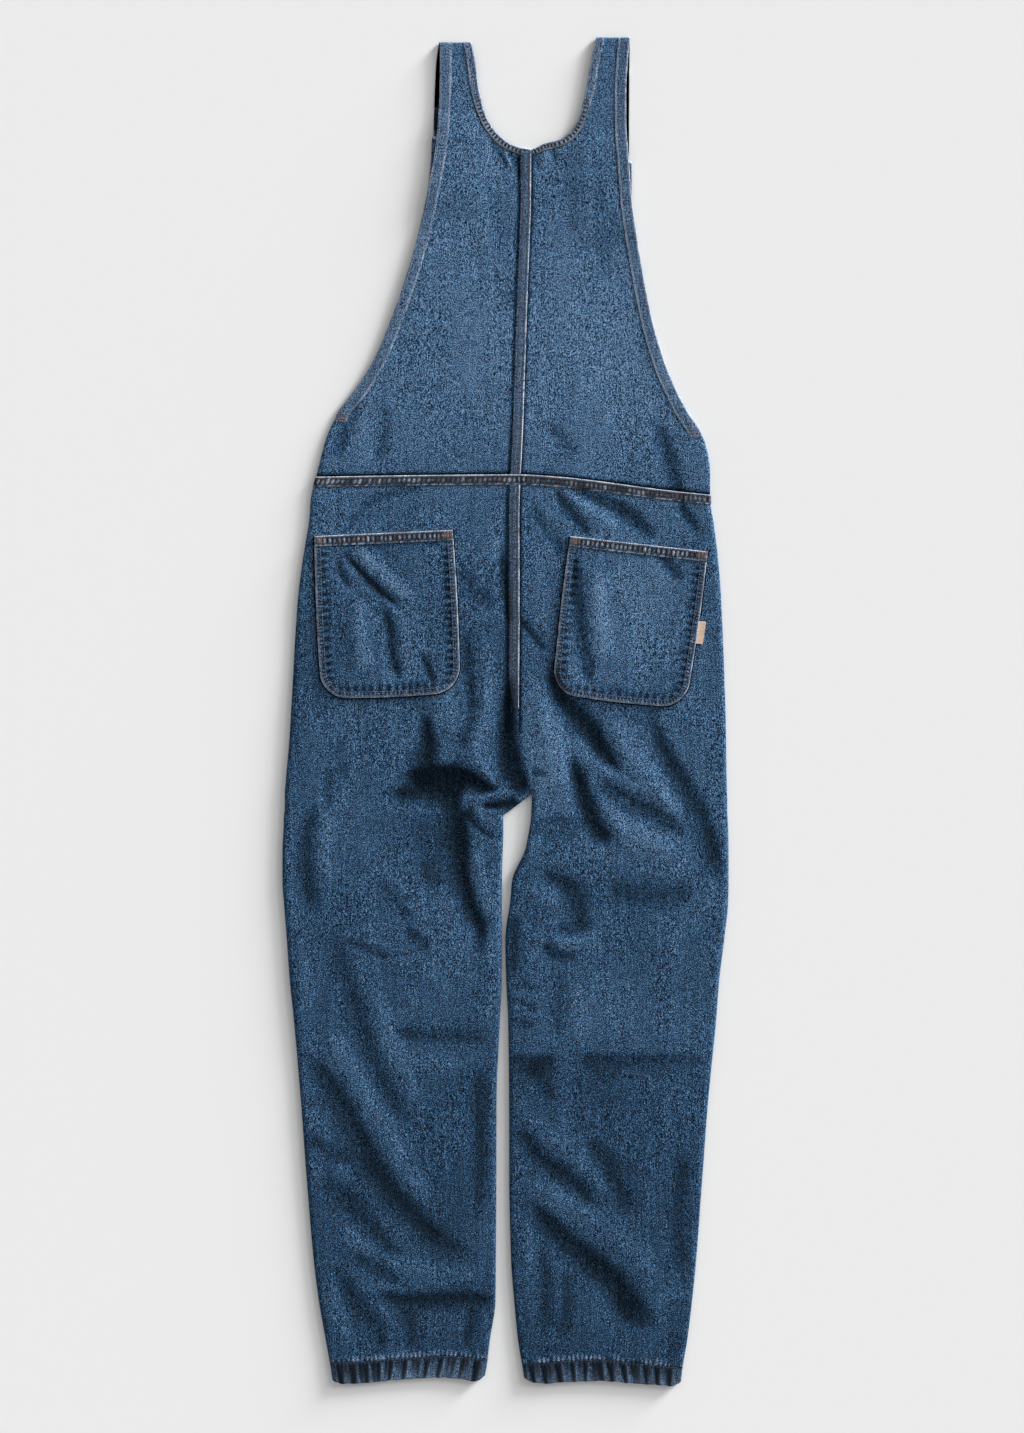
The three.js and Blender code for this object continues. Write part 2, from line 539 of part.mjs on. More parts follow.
function pocketTab() {
  const surface = (u, v) => {
    const across = POCKET.width + POCKET.belly + SEAM_GAP + u * TAB.width;
    const [x, y] = onPocket(POCKETS.right, across, TAB.below + v * TAB.length);
    return new THREE.Vector3(x, y, backHeight(x, y) + CLOTH / 2 + SEWN_ON + TAB.thickness / 2);
  };
  return cloth("pocket_tab", wall(evenly(2), evenly(4), surface, { thickness: TAB.thickness }), ECRU);
}

function strapButton(side) {
  const { radius, thickness, rim, sides } = BUTTON;
  const profile = [
    [0, 0],
    [radius - rim, 0],
    [radius, rim],
    [radius, thickness - rim],
    [radius - rim, thickness],
    [0, thickness],
  ];
  const geometry = new THREE.LatheGeometry(profile.map((point) => new THREE.Vector2(...point)), sides);
  geometry.rotateX(Math.PI / 2);
  const material = new THREE.MeshStandardMaterial({ color: COPPER, roughness: 0.35, metalness: 1 });
  const mesh = new THREE.Mesh(geometry, material);
  mesh.name = `strap_button_${side}`;
  mesh.position.set(STRAPS[side].button.x, STRAPS[side].button.y, 0);
  return mesh;
}

const dungarees = new THREE.Group();
for (const side of ["left", "right"]) {
  dungarees.add(bodyPanel(side), backLeg(side), frontLeg(side), pocket(side));
  dungarees.add(backHem(side), frontHem(side), strapButton(side));
}
dungarees.add(bib(), pocketTab());

export default dungarees;
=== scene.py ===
"""Denim dungarees, laid flat on their front with the back up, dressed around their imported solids."""

import json
import math
from collections import namedtuple

import bmesh
import bpy
import numpy as np
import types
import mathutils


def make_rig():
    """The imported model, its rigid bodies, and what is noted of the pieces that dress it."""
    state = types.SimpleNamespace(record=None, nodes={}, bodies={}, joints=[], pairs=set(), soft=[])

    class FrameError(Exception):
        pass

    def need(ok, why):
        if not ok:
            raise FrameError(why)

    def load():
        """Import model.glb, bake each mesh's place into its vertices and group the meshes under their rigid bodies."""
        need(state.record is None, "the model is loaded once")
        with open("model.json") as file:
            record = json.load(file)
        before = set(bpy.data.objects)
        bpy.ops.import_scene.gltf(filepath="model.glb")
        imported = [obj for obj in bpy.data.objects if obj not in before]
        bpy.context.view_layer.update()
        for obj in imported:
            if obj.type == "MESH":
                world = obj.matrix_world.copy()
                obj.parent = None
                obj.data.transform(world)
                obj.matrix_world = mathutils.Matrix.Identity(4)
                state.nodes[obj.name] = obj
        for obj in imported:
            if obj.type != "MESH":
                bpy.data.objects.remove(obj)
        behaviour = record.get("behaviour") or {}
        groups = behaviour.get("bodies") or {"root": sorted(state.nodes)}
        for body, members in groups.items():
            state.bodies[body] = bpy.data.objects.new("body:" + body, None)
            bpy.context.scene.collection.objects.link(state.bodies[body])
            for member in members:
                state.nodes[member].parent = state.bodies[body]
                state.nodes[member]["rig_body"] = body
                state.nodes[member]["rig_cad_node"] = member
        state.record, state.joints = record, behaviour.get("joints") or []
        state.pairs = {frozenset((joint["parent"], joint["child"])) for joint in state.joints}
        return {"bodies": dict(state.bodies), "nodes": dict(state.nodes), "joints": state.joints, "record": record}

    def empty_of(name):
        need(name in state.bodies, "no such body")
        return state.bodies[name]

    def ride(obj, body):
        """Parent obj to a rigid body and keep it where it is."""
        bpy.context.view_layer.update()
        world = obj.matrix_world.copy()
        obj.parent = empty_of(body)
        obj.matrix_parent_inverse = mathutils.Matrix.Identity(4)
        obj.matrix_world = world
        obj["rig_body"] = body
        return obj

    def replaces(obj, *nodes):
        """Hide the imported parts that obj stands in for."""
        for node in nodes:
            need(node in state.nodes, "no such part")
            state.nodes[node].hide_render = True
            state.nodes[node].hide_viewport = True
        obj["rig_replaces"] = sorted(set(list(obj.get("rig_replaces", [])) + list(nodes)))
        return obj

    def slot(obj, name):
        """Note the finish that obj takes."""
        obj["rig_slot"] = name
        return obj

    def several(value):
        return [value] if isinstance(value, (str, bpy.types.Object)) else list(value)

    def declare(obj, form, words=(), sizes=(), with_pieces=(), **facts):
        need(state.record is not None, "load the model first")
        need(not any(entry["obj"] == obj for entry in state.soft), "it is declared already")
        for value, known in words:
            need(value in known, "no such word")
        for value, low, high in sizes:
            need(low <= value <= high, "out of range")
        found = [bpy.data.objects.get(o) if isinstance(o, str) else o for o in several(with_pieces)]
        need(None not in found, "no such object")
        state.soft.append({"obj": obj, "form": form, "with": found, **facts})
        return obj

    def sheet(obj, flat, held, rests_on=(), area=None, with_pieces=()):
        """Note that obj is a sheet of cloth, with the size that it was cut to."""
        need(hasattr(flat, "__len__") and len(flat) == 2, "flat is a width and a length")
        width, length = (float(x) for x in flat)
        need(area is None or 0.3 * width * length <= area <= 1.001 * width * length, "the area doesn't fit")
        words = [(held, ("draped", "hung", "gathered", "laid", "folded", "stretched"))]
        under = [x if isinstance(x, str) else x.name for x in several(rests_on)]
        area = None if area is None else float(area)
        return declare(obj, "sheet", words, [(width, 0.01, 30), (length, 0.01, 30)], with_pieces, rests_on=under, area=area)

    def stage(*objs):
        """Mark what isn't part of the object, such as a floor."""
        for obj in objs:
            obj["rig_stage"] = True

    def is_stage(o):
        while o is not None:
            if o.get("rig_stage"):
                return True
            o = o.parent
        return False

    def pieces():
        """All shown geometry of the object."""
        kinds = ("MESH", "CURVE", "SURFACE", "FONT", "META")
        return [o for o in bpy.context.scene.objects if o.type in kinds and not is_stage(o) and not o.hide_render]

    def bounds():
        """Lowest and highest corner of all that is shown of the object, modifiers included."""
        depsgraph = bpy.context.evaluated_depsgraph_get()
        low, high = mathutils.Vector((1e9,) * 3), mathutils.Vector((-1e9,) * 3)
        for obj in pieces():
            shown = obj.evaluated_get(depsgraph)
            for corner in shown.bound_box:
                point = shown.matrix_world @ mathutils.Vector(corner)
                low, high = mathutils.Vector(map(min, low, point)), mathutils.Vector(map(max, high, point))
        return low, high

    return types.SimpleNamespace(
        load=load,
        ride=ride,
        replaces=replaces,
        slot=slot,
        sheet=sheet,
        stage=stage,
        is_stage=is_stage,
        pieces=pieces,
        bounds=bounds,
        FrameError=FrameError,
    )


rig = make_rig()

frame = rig.load()
cad_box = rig.bounds()

# The back of the legs: two panels of washed denim, cut from the waist seam to the ankle. They are
# joined by the seat seam down to the crotch, and lie loosely over the front with folds that fan out
# from the crotch. Sizes are millimetres until the cloth is made, as in the pattern.
MM = 0.001
CLOTH = 1.4
SEAM_GAP = 0.3
FLOOR_LAYER = CLOTH / 2
SEAM_HEIGHT = 3
BACK_ROUND = 5
CROTCH = -91
HEM_LEVEL = -722
WAIST_LEVEL = 262
FELL = 11.5  # width of a felled seam
FELL_RISE = 0.9

WaistPoint = namedtuple("WaistPoint", "x y")
WAIST = [
    WaistPoint(-212, 261),
    WaistPoint(-84, 263),
    WaistPoint(11, 263.7),
    WaistPoint(60, 261),
    WaistPoint(105, 256),
    WaistPoint(172, 247),
    WaistPoint(228, 241),
]
Section = namedtuple("Section", "y left_out left_in right_in right_out")
LEGS = [
    Section(264, -210, 17, 17, 227.7),
    Section(236, -216.6, 15.8, 15.8, 227.7),
    Section(213, -218.5, 15.4, 15.4, 231.1),
    Section(169, -225.5, 15.6, 15.6, 236.6),
    Section(124, -231.1, 15.6, 15.6, 240),
    Section(13, -237.8, 15, 15, 244.4),
    Section(-32, -240.5, 14.8, 14.8, 245.5),
    Section(-60, -243, 18, 18, 245.8),
    Section(-80, -244.7, 23.5, 23.5, 246.2),
    Section(CROTCH, -245.5, 28, 28, 246.5),
    Section(-99, -245.5, 19.5, 29, 246.7),
    Section(-110, -245.7, 5, 28.6, 246.7),
    Section(-116, -246.5, -2.6, 28.4, 247),
    Section(-132, -247, -2.2, 26.2, 247.8),
    Section(-154, -248.2, -2.9, 21.7, 248.2),
    Section(-188, -248.2, -3.9, 7.2, 248.2),
    Section(-210, -246.7, -4, 5.2, 247.8),
    Section(-254, -243.3, -3.9, -0.3, 243.3),
    Section(-299, -240, -4.2, 0.6, 237.8),
    Section(-343, -235.5, -6.1, 2.8, 234.4),
    Section(-433, -227.7, -9.8, 3.9, 225.5),
    Section(-522, -221, -10, 4.1, 218.8),
    Section(-611, -213.3, -10.6, 6.1, 212.1),
    Section(-655, -207.7, -11, 9.5, 207.7),
    Section(-700, -199.9, -17.3, 13.9, 202.1),
    Section(-733, -194, -21.7, 19.5, 196.6),
    Section(-750, -191.8, -26, 22, 195),
]
HemPoint = namedtuple("HemPoint", "x top bottom")
HEMS = {
    "left": [
        HemPoint(-193, -724.4, -747.8),
        HemPoint(-157, -723, -746.6),
        HemPoint(-110, -719, -742),
        HemPoint(-63, -717, -740.6),
        HemPoint(-31, -719.6, -745),
        HemPoint(-18, -721, -739.5),
    ],
    "right": [
        HemPoint(18, -726, -745),
        HemPoint(48, -724, -747),
        HemPoint(100, -721.2, -744.4),
        HemPoint(145, -725, -747.2),
        HemPoint(190, -729.6, -750),
        HemPoint(200, -730.5, -748.5),
    ],
}
SIDES = tuple(HEMS)
Loft = namedtuple("Loft", "y rise")
LOFT = [
    Loft(750, 4.4),
    Loft(640, 4.5),
    Loft(330, 4.8),
    Loft(262, 5),
    Loft(100, 5.6),
    Loft(-90, 6.4),
    Loft(-250, 6),
    Loft(-500, 5.4),
    Loft(-700, 4.9),
    Loft(-750, 4.9),
]

# Each fold follows a path of points, x and y, with its width at each. It is a soft ridge, or a trough
# where its height is negative. Lean above 0 makes its side on the right of that way the steep one.
Fold = namedtuple("Fold", "height lean path")
FOLDS = [
    # round the crotch
    Fold(-4.4, -0.3, [(5, 46, 4), (5, 10, 7), (4, -30, 11), (9, -60, 13), (18, -82, 10), (28, -96, 5)]),
    Fold(-2.8, -0.4, [(-91, 4, 3), (-86, -20, 7), (-84, -44, 12), (-90, -70, 16), (-94, -92, 12)]),
    Fold(-4.2, -0.5, [
        (-122, -75, 5), (-92, -68, 10), (-62, -67, 14), (-38, -71, 11), (-22, -82, 8), (-4, -92, 4),
    ]),
    Fold(-3.2, -0.5, [
        (-64, -84, 12), (-52, -116, 13), (-48, -150, 14), (-46, -180, 13), (-38, -212, 11),
        (-26, -244, 8), (-34, -290, 5),
    ]),
    Fold(-2.6, 0, [(-136, -96, 7), (-100, -91, 13), (-66, -91, 17), (-44, -98, 12)]),
    Fold(-0.8, 0, [(-100, -110, 14), (-86, -150, 22), (-80, -210, 16)]),
    Fold(2, 0, [(-12, 46, 6), (-28, 8, 9), (-36, -30, 12), (-34, -58, 11), (-8, -86, 6)]),
    Fold(1.1, 0, [(-84, 34, 8), (-66, 4, 14), (-62, -34, 12)]),
    Fold(-2, -0.2, [(-24, 24, 3), (-34, -4, 7), (-44, -30, 7), (-46, -48, 3)]),
    Fold(1.6, 0, [
        (6, -86, 3), (-10, -92, 3.4), (-26, -96, 3.6), (-35, -102, 3.4), (-33, -112, 3.6), (-25, -128, 4),
    ]),
    Fold(-3, 0, [(-30, -105, 2.4), (-14, -105, 4.6), (4, -103, 6), (16, -98, 6)]),
    Fold(-1.6, 0, [(-46, -104, 5), (-38, -120, 5), (-26, -134, 4), (-12, -140, 3)]),
    Fold(1.2, 0, [(-34, -152, 5), (-30, -186, 8), (-15, -236, 7)]),
    Fold(-1.45, 0, [(-210, -98, 6), (-222, -140, 10), (-221, -190, 11), (-211, -232, 6)]),
    Fold(0.55, 0, [(-196, -104, 8), (-204, -150, 12), (-196, -204, 8)]),
    Fold(-0.8, 0, [(-196, -60, 5), (-200, -86, 7), (-194, -112, 5)]),
    Fold(-0.7, 0, [(-180, -22, 6), (-184, -50, 10), (-178, -84, 6)]),
    # the right thigh
    Fold(-3.8, -0.25, [
        (53, 72, 4), (54, 40, 7), (62, 18, 9), (78, 0, 12), (94, -20, 14), (108, -42, 12),
        (121, -59, 8), (134, -72, 4),
    ]),
    Fold(1.6, 0, [(30, 24, 8), (44, -20, 14), (52, -60, 14), (62, -102, 9)]),
    Fold(-3.8, -0.1, [
        (70, -44, 4), (79, -70, 8), (87, -95, 10), (97, -120, 11), (108, -136, 10), (126, -146, 4),
    ]),
    Fold(1.3, 0, [(72, -28, 7), (98, -50, 9), (128, -76, 6)]),
    Fold(-1.9, -0.35, [(96, -70, 7), (120, -88, 11), (148, -104, 13), (176, -119, 12), (208, -148, 6)]),
    Fold(1.5, 0.1, [(104, -6, 8), (130, -40, 13), (164, -84, 12), (196, -124, 7)]),
    Fold(1.2, 0, [(98, -94, 6), (122, -124, 12), (158, -144, 14), (196, -162, 10)]),
    Fold(-2.1, -0.35, [
        (156, 10, 5), (171, -28, 9), (186, -60, 12), (205, -92, 14), (221, -124, 13),
        (233, -165, 11), (240, -208, 6),
    ]),
    Fold(-0.9, -0.7, [(28, -124, 8), (56, -122, 14), (88, -124, 8)]),
    Fold(-1.5, 0, [(34, -180, 4), (56, -188, 8), (75, -202, 12), (80, -226, 9), (76, -248, 4)]),
    Fold(0.8, 0, [(14, -190, 7), (40, -206, 12), (62, -214, 7)]),
    Fold(-1.3, 0, [(108, -190, 9), (140, -203, 16), (180, -206, 15), (214, -196, 8)]),
    Fold(-1.8, 0, [(46, -70, 2), (38, -69, 4), (27, -70, 6)]),
    Fold(-1.4, 0, [(10, -222, 5), (8, -258, 8), (8, -304, 5)]),
    # the left thigh and knee
    Fold(-1.15, -0.35, [
        (-198, -234, 6), (-186, -264, 10), (-178, -292, 12), (-167, -322, 13), (-158, -352, 13),
        (-147, -386, 13), (-136, -412, 12), (-116, -446, 10), (-90, -482, 5),
    ]),
    Fold(0.75, 0, [(-160, -290, 7), (-138, -344, 12), (-118, -390, 12), (-92, -446, 8)]),
    Fold(-1.85, -0.35, [
        (-240, -372, 6), (-214, -392, 11), (-196, -412, 14), (-178, -441, 16), (-161, -472, 17),
        (-146, -502, 17), (-127, -530, 17), (-107, -552, 15), (-86, -576, 13), (-58, -596, 11),
        (-26, -612, 6),
    ]),
    Fold(1.1, 0, [
        (-206, -350, 8), (-182, -384, 13), (-158, -426, 14), (-132, -480, 15), (-108, -520, 14),
        (-78, -552, 10),
    ]),
    Fold(-1.05, 0.3, [(-128, -350, 5), (-106, -362, 9), (-60, -364, 10), (-14, -365, 8)]),
    Fold(0.45, 0, [(-130, -382, 8), (-80, -392, 10), (-30, -390, 8)]),
    Fold(-1, 0, [(-180, -254, 3), (-157, -264, 4), (-128, -276, 3)]),
    Fold(-1, -0.3, [(-114, -238, 4), (-98, -252, 8), (-82, -270, 4)]),
    Fold(-0.8, 0, [(-146, -186, 4), (-122, -214, 8), (-104, -240, 4)]),
    Fold(-0.6, 0, [(-96, -160, 5), (-84, -186, 8), (-80, -220, 5)]),
    Fold(-1.2, 0, [(-26, -384, 7), (-30, -440, 10), (-28, -500, 10), (-34, -580, 7)]),
    Fold(0.4, 0, [(-20, -250, 5), (-14, -300, 7), (-22, -350, 5)]),
    Fold(0.5, 0, [(-228, -246, 4), (-226, -290, 7), (-222, -340, 5)]),
    # the left shin
    Fold(0.7, 0, [(-198, -556, 7), (-160, -594, 12), (-110, -624, 14), (-60, -628, 12), (-18, -622, 7)]),
    Fold(-1.3, -0.2, [
        (-212, -512, 7), (-180, -540, 13), (-158, -562, 14), (-134, -594, 10), (-108, -610, 6),
    ]),
    Fold(-0.9, 0, [(-224, -466, 6), (-200, -490, 10), (-164, -504, 7)]),
    Fold(-1.6, -0.4, [(-154, -645, 5), (-118, -653, 9), (-70, -652, 10), (-34, -652, 9), (-8, -660, 7)]),
    Fold(-1.1, 0, [(-176, -600, 6), (-142, -622, 9), (-112, -634, 5)]),
    Fold(-1.1, 0, [(-196, -616, 6), (-168, -656, 12), (-142, -690, 10), (-138, -716, 5)]),
    Fold(0.55, 0, [(-196, -622, 6), (-189, -664, 10), (-170, -714, 8)]),
    Fold(-1, 0, [(-36, -658, 5), (-40, -684, 8), (-46, -712, 5)]),
    Fold(-0.7, 0, [(-120, -660, 8), (-106, -688, 11), (-110, -716, 8)]),
    # the right knee and its crease from storage
    Fold(-1, 0, [(54, -240, 5), (74, -244, 8), (100, -236, 6)]),
    Fold(0.8, 0, [(54, -262, 6), (76, -258, 8), (108, -250, 5)]),
    Fold(-1.5, 0, [(40, -256, 5), (54, -271, 8), (82, -273, 4)]),
    Fold(-0.8, 0, [(56, -282, 6), (58, -322, 9), (56, -372, 6)]),
    Fold(0.35, 0, [(84, -300, 9), (80, -340, 12), (86, -374, 8)]),
    Fold(-1.4, -0.7, [(0, -386, 10), (30, -387, 13), (60, -385, 7)]),
    Fold(-1.1, -0.7, [(70, -384, 7), (110, -385, 11), (170, -385, 9), (232, -386, 8)]),
    Fold(-1, 0, [(20, -392, 8), (40, -410, 11), (50, -440, 6)]),
    Fold(-0.8, 0, [(2, -306, 3), (18, -305, 4), (36, -313, 3)]),
    Fold(-0.8, 0, [(2, -324, 3), (18, -326, 5), (38, -335, 3)]),
    Fold(-0.8, 0, [(2, -343, 3), (16, -346, 5), (34, -355, 3)]),
    # the right shin
    Fold(-1.45, -0.2, [
        (0, -460, 7), (22, -474, 9), (34, -492, 9), (60, -512, 10), (84, -532, 8), (104, -556, 4),
    ]),
    Fold(0.7, 0, [(14, -446, 6), (46, -470, 11), (84, -502, 11), (120, -550, 6)]),
    Fold(1.2, 0.1, [(12, -516, 8), (52, -542, 13), (98, -574, 14), (140, -606, 14), (172, -640, 8)]),
    Fold(-2.3, -0.35, [
        (18, -536, 5), (44, -563, 12), (70, -589, 14), (98, -610, 14), (124, -634, 15),
        (144, -660, 15), (176, -688, 8),
    ]),
    Fold(-1, 0, [(126, -640, 8), (136, -668, 13), (160, -690, 8)]),
    Fold(0.5, 0, [(164, -656, 5), (186, -650, 7), (206, -648, 5)]),
    Fold(-1, 0, [(86, -470, 8), (118, -516, 13), (144, -566, 9)]),
    Fold(-1, 0, [(196, -480, 7), (192, -560, 12), (194, -640, 8)]),
    Fold(0.45, 0, [(24, -560, 4), (26, -620, 6), (28, -694, 5)]),
    Fold(-0.8, 0, [(40, -590, 5), (44, -640, 8), (42, -704, 5)]),
    Fold(-0.8, 0, [(66, -616, 5), (68, -654, 8), (60, -706, 5)]),
    Fold(-0.6, 0, [(186, -690, 6), (184, -706, 9), (180, -724, 6)]),
    # the seat
    Fold(-2.4, -0.2, [(62, 252, 4), (96, 240, 7), (130, 224, 9), (152, 206, 8), (168, 188, 5)]),
    Fold(-1.9, 0, [(50, 250, 4), (68, 228, 7), (84, 208, 6), (96, 190, 4)]),
    Fold(0.9, 0, [(60, 246, 4), (92, 222, 8), (130, 200, 7)]),
    Fold(-2, -0.2, [(166, 332, 5), (178, 296, 8), (189, 258, 8), (200, 222, 6), (224, 186, 4)]),
    Fold(-1, 0, [(-186, 192, 3), (-160, 224, 5), (-128, 242, 5), (-80, 250, 4)]),
    Fold(-1.7, 0, [(-6, 190, 4), (-2, 150, 5.5), (2, 112, 5), (5, 94, 3)]),
    Fold(0.55, 0, [(-8, 236, 5), (-13, 196, 7), (-19, 152, 6)]),
    Fold(-1.7, 0, [(13, 106, 2.5), (28, 86, 4), (46, 64, 3)]),
    Fold(-1, 0, [(-52, 164, 5), (-40, 138, 9), (-12, 112, 6)]),
    Fold(-1, 0, [(26, 230, 5), (46, 198, 7), (68, 174, 5)]),
    Fold(0.45, 0, [(30, 190, 6), (40, 130, 9), (36, 60, 8)]),
    Fold(-1.2, 0, [(-46, 98, 5), (-44, 60, 8), (-38, 14, 7), (-38, -6, 5)]),
    Fold(0.45, 0, [(-20, 84, 5), (-22, 60, 8), (-16, 26, 6)]),
    Fold(-0.7, 0, [(-240, 120, 6), (-238, 60, 10), (-242, 0, 6)]),
    # gathers under the neckline
    Fold(-1.2, 0, [(-9, 627, 1.8), (-3, 615, 2.4), (3, 602, 1.8)]),
    Fold(0.8, 0, [(-3, 626, 1.8), (2, 613, 2.4), (6, 603, 1.8)]),
    Fold(-1.2, 0, [(4, 625, 1.8), (8, 612, 2.2), (10, 602, 1.6)]),
    Fold(-1.6, 0, [(11, 624, 2), (14, 608, 2.6), (15, 590, 2)]),
    Fold(-0.9, 0, [(-20, 640, 1.8), (-13, 628, 2.6), (-6, 614, 1.8)]),
    Fold(-1, 0, [(32, 626, 1.8), (34, 612, 2.4), (36, 600, 1.6)]),
    Fold(-0.9, 0, [(51, 632, 1.8), (54, 618, 2.4), (54, 606, 1.6)]),
    Fold(0.6, 0, [(42, 629, 1.8), (44, 614, 2.6), (44, 602, 1.6)]),
    # the back above the waist
    Fold(-1.3, 0, [(-164, 352, 5), (-178, 316, 7), (-188, 276, 6)]),
    Fold(0.45, 0, [(-158, 332, 6), (-162, 296, 8), (-160, 266, 6)]),
    Fold(-1.2, 0, [(-134, 344, 5), (-136, 310, 8), (-144, 272, 6)]),
    Fold(-1, 0, [(44, 326, 4), (62, 300, 8), (84, 280, 6)]),
    Fold(-0.8, 0, [(100, 604, 6), (112, 540, 11), (106, 466, 7)]),
    Fold(-0.8, 0, [(-22, 604, 5), (-12, 560, 8), (-6, 496, 5)]),
    Fold(0.35, 0, [(-38, 510, 8), (-46, 420, 14), (-40, 330, 9)]),
    Fold(0.35, 0, [(58, 566, 9), (66, 480, 15), (58, 392, 9)]),
]

# The height of the folds is worked out once, on a fine map of the whole garment.
TAPER = 0.22  # the share of a fold over which each end runs out
FOLD_REACH = 3.2  # in widths: past it a fold adds nothing
MAP_STEP = 1.0
MAP_X = np.arange(-262, 263, MAP_STEP)
MAP_Y = np.arange(-764, 765, MAP_STEP)
MAP_WIDE = 530
MAP_LONG = 1540


def smoothstep(value, low, high):
    share = np.clip((value - low) / (high - low), 0, 1)
    return share * share * (3 - 2 * share)


def lerp(low, high, share):
    return low + (high - low) * share


def bell(value, middle, width):
    """1 at the middle, and less to both sides of it."""
    return np.exp(-(((value - middle) / width) ** 2))


def plateau(value, rise, fall):
    """1 between a rise and a fall, each a pair of places, and 0 outside them."""
    return smoothstep(value, *rise) * (1 - smoothstep(value, *fall))


def fold_path(points):
    """A smooth path through a fold's points and widths, in short steps."""
    points = np.array(points, float)
    around = np.vstack([2 * points[0] - points[1], points, 2 * points[-1] - points[-2]])
    slope = (around[2:] - around[:-2]) / 2
    t = np.linspace(0, 1, 8, endpoint=False)[:, None]
    spans = [
        lerp(here, ahead, t * t * (3 - 2 * t)) + t * (1 - t) * ((1 - t) * leaving - t * reaching)
        for here, ahead, leaving, reaching in zip(points[:-1], points[1:], slope[:-1], slope[1:])
    ]
    return np.vstack([*spans, points[-1:]])


def fold_profile(fold, x, y):
    """The height of one fold at points of the map."""
    path = fold_path(fold.path)
    nearest = np.full(x.shape, np.inf)
    along, beside, width = (np.zeros(x.shape) for _ in range(3))
    for i, (here, ahead) in enumerate(zip(path[:-1], path[1:])):
        step = (ahead - here)[:2]
        part = np.clip(((x - here[0]) * step[0] + (y - here[1]) * step[1]) / (step @ step), 0, 1)
        off_x, off_y = x - here[0] - part * step[0], y - here[1] - part * step[1]
        away = np.hypot(off_x, off_y)
        closer = away < nearest
        nearest = np.where(closer, away, nearest)
        along = np.where(closer, (i + part) / (len(path) - 1), along)
        beside = np.where(closer, np.sign(step[1] * off_x - step[0] * off_y), beside)
        width = np.where(closer, lerp(here[2], ahead[2], part), width)
    taper = smoothstep(along, 0, TAPER) * smoothstep(1 - along, 0, TAPER)
    return fold.height * taper * bell(nearest, 0, width * (1 - fold.lean * beside))


def fold_map(folds):
    """All folds on the map, each worked out only near its own path."""
    lift = np.zeros((len(MAP_Y), len(MAP_X)))
    for fold in folds:
        points = np.array(fold.path, float)
        reach = FOLD_REACH * (1 + abs(fold.lean)) * points[:, 2].max()
        in_x, in_y = (
            np.flatnonzero((places > points[:, k].min() - reach) & (places < points[:, k].max() + reach))
            for k, places in enumerate((MAP_X, MAP_Y))
        )
        near = np.ix_(in_y, in_x)
        lift[near] += fold_profile(fold, *np.meshgrid(MAP_X[in_x], MAP_Y[in_y]))
    return lift


def rumple_map(wide, long, seed):
    """Soft unevenness of the cloth, from -1 to 1, in patches of this width and length."""
    chance = np.random.default_rng(seed)
    lattice = chance.uniform(-1, 1, (int(MAP_LONG / long) + 4, int(MAP_WIDE / wide) + 4))
    across, down = (MAP_X - MAP_X[0]) / wide, (MAP_Y - MAP_Y[0]) / long
    i, j = down.astype(int), across.astype(int)
    s = smoothstep(down - i, 0, 1)[:, None]
    t = smoothstep(across - j, 0, 1)[None, :]
    low = lerp(lattice[np.ix_(i, j)], lattice[np.ix_(i, j + 1)], t)
    high = lerp(lattice[np.ix_(i + 1, j)], lattice[np.ix_(i + 1, j + 1)], t)
    return lerp(low, high, s)


def blurred(values, reach):
    """The map averaged over squares of this many millimetres either way, twice."""
    for _ in range(2):
        for axis in (0, 1):
            edge = [(reach + 1, reach) if axis == way else (0, 0) for way in (0, 1)]
            total = np.cumsum(np.pad(values, edge, mode="edge"), axis=axis)
            span = 2 * reach + 1
            values = (np.take(total, range(span, total.shape[axis]), axis)
                      - np.take(total, range(total.shape[axis] - span), axis)) / span
    return values


def reader(values):
    """A function that reads a map between its points."""

    def read(x, y):
        across = np.clip((x - MAP_X[0]) / MAP_STEP, 0, len(MAP_X) - 1.001)
        down = np.clip((y - MAP_Y[0]) / MAP_STEP, 0, len(MAP_Y) - 1.001)
        j, i = across.astype(int), down.astype(int)
        t, s = across - j, down - i
        low = lerp(values[i, j], values[i, j + 1], t)
        return lerp(low, lerp(values[i + 1, j], values[i + 1, j + 1], t), s)

    return read


folds_lift = fold_map(FOLDS)
unevenness = 0.26 * rumple_map(26, 60, 3) + 0.08 * rumple_map(11, 24, 5)
fold_lift = reader(folds_lift + unevenness)

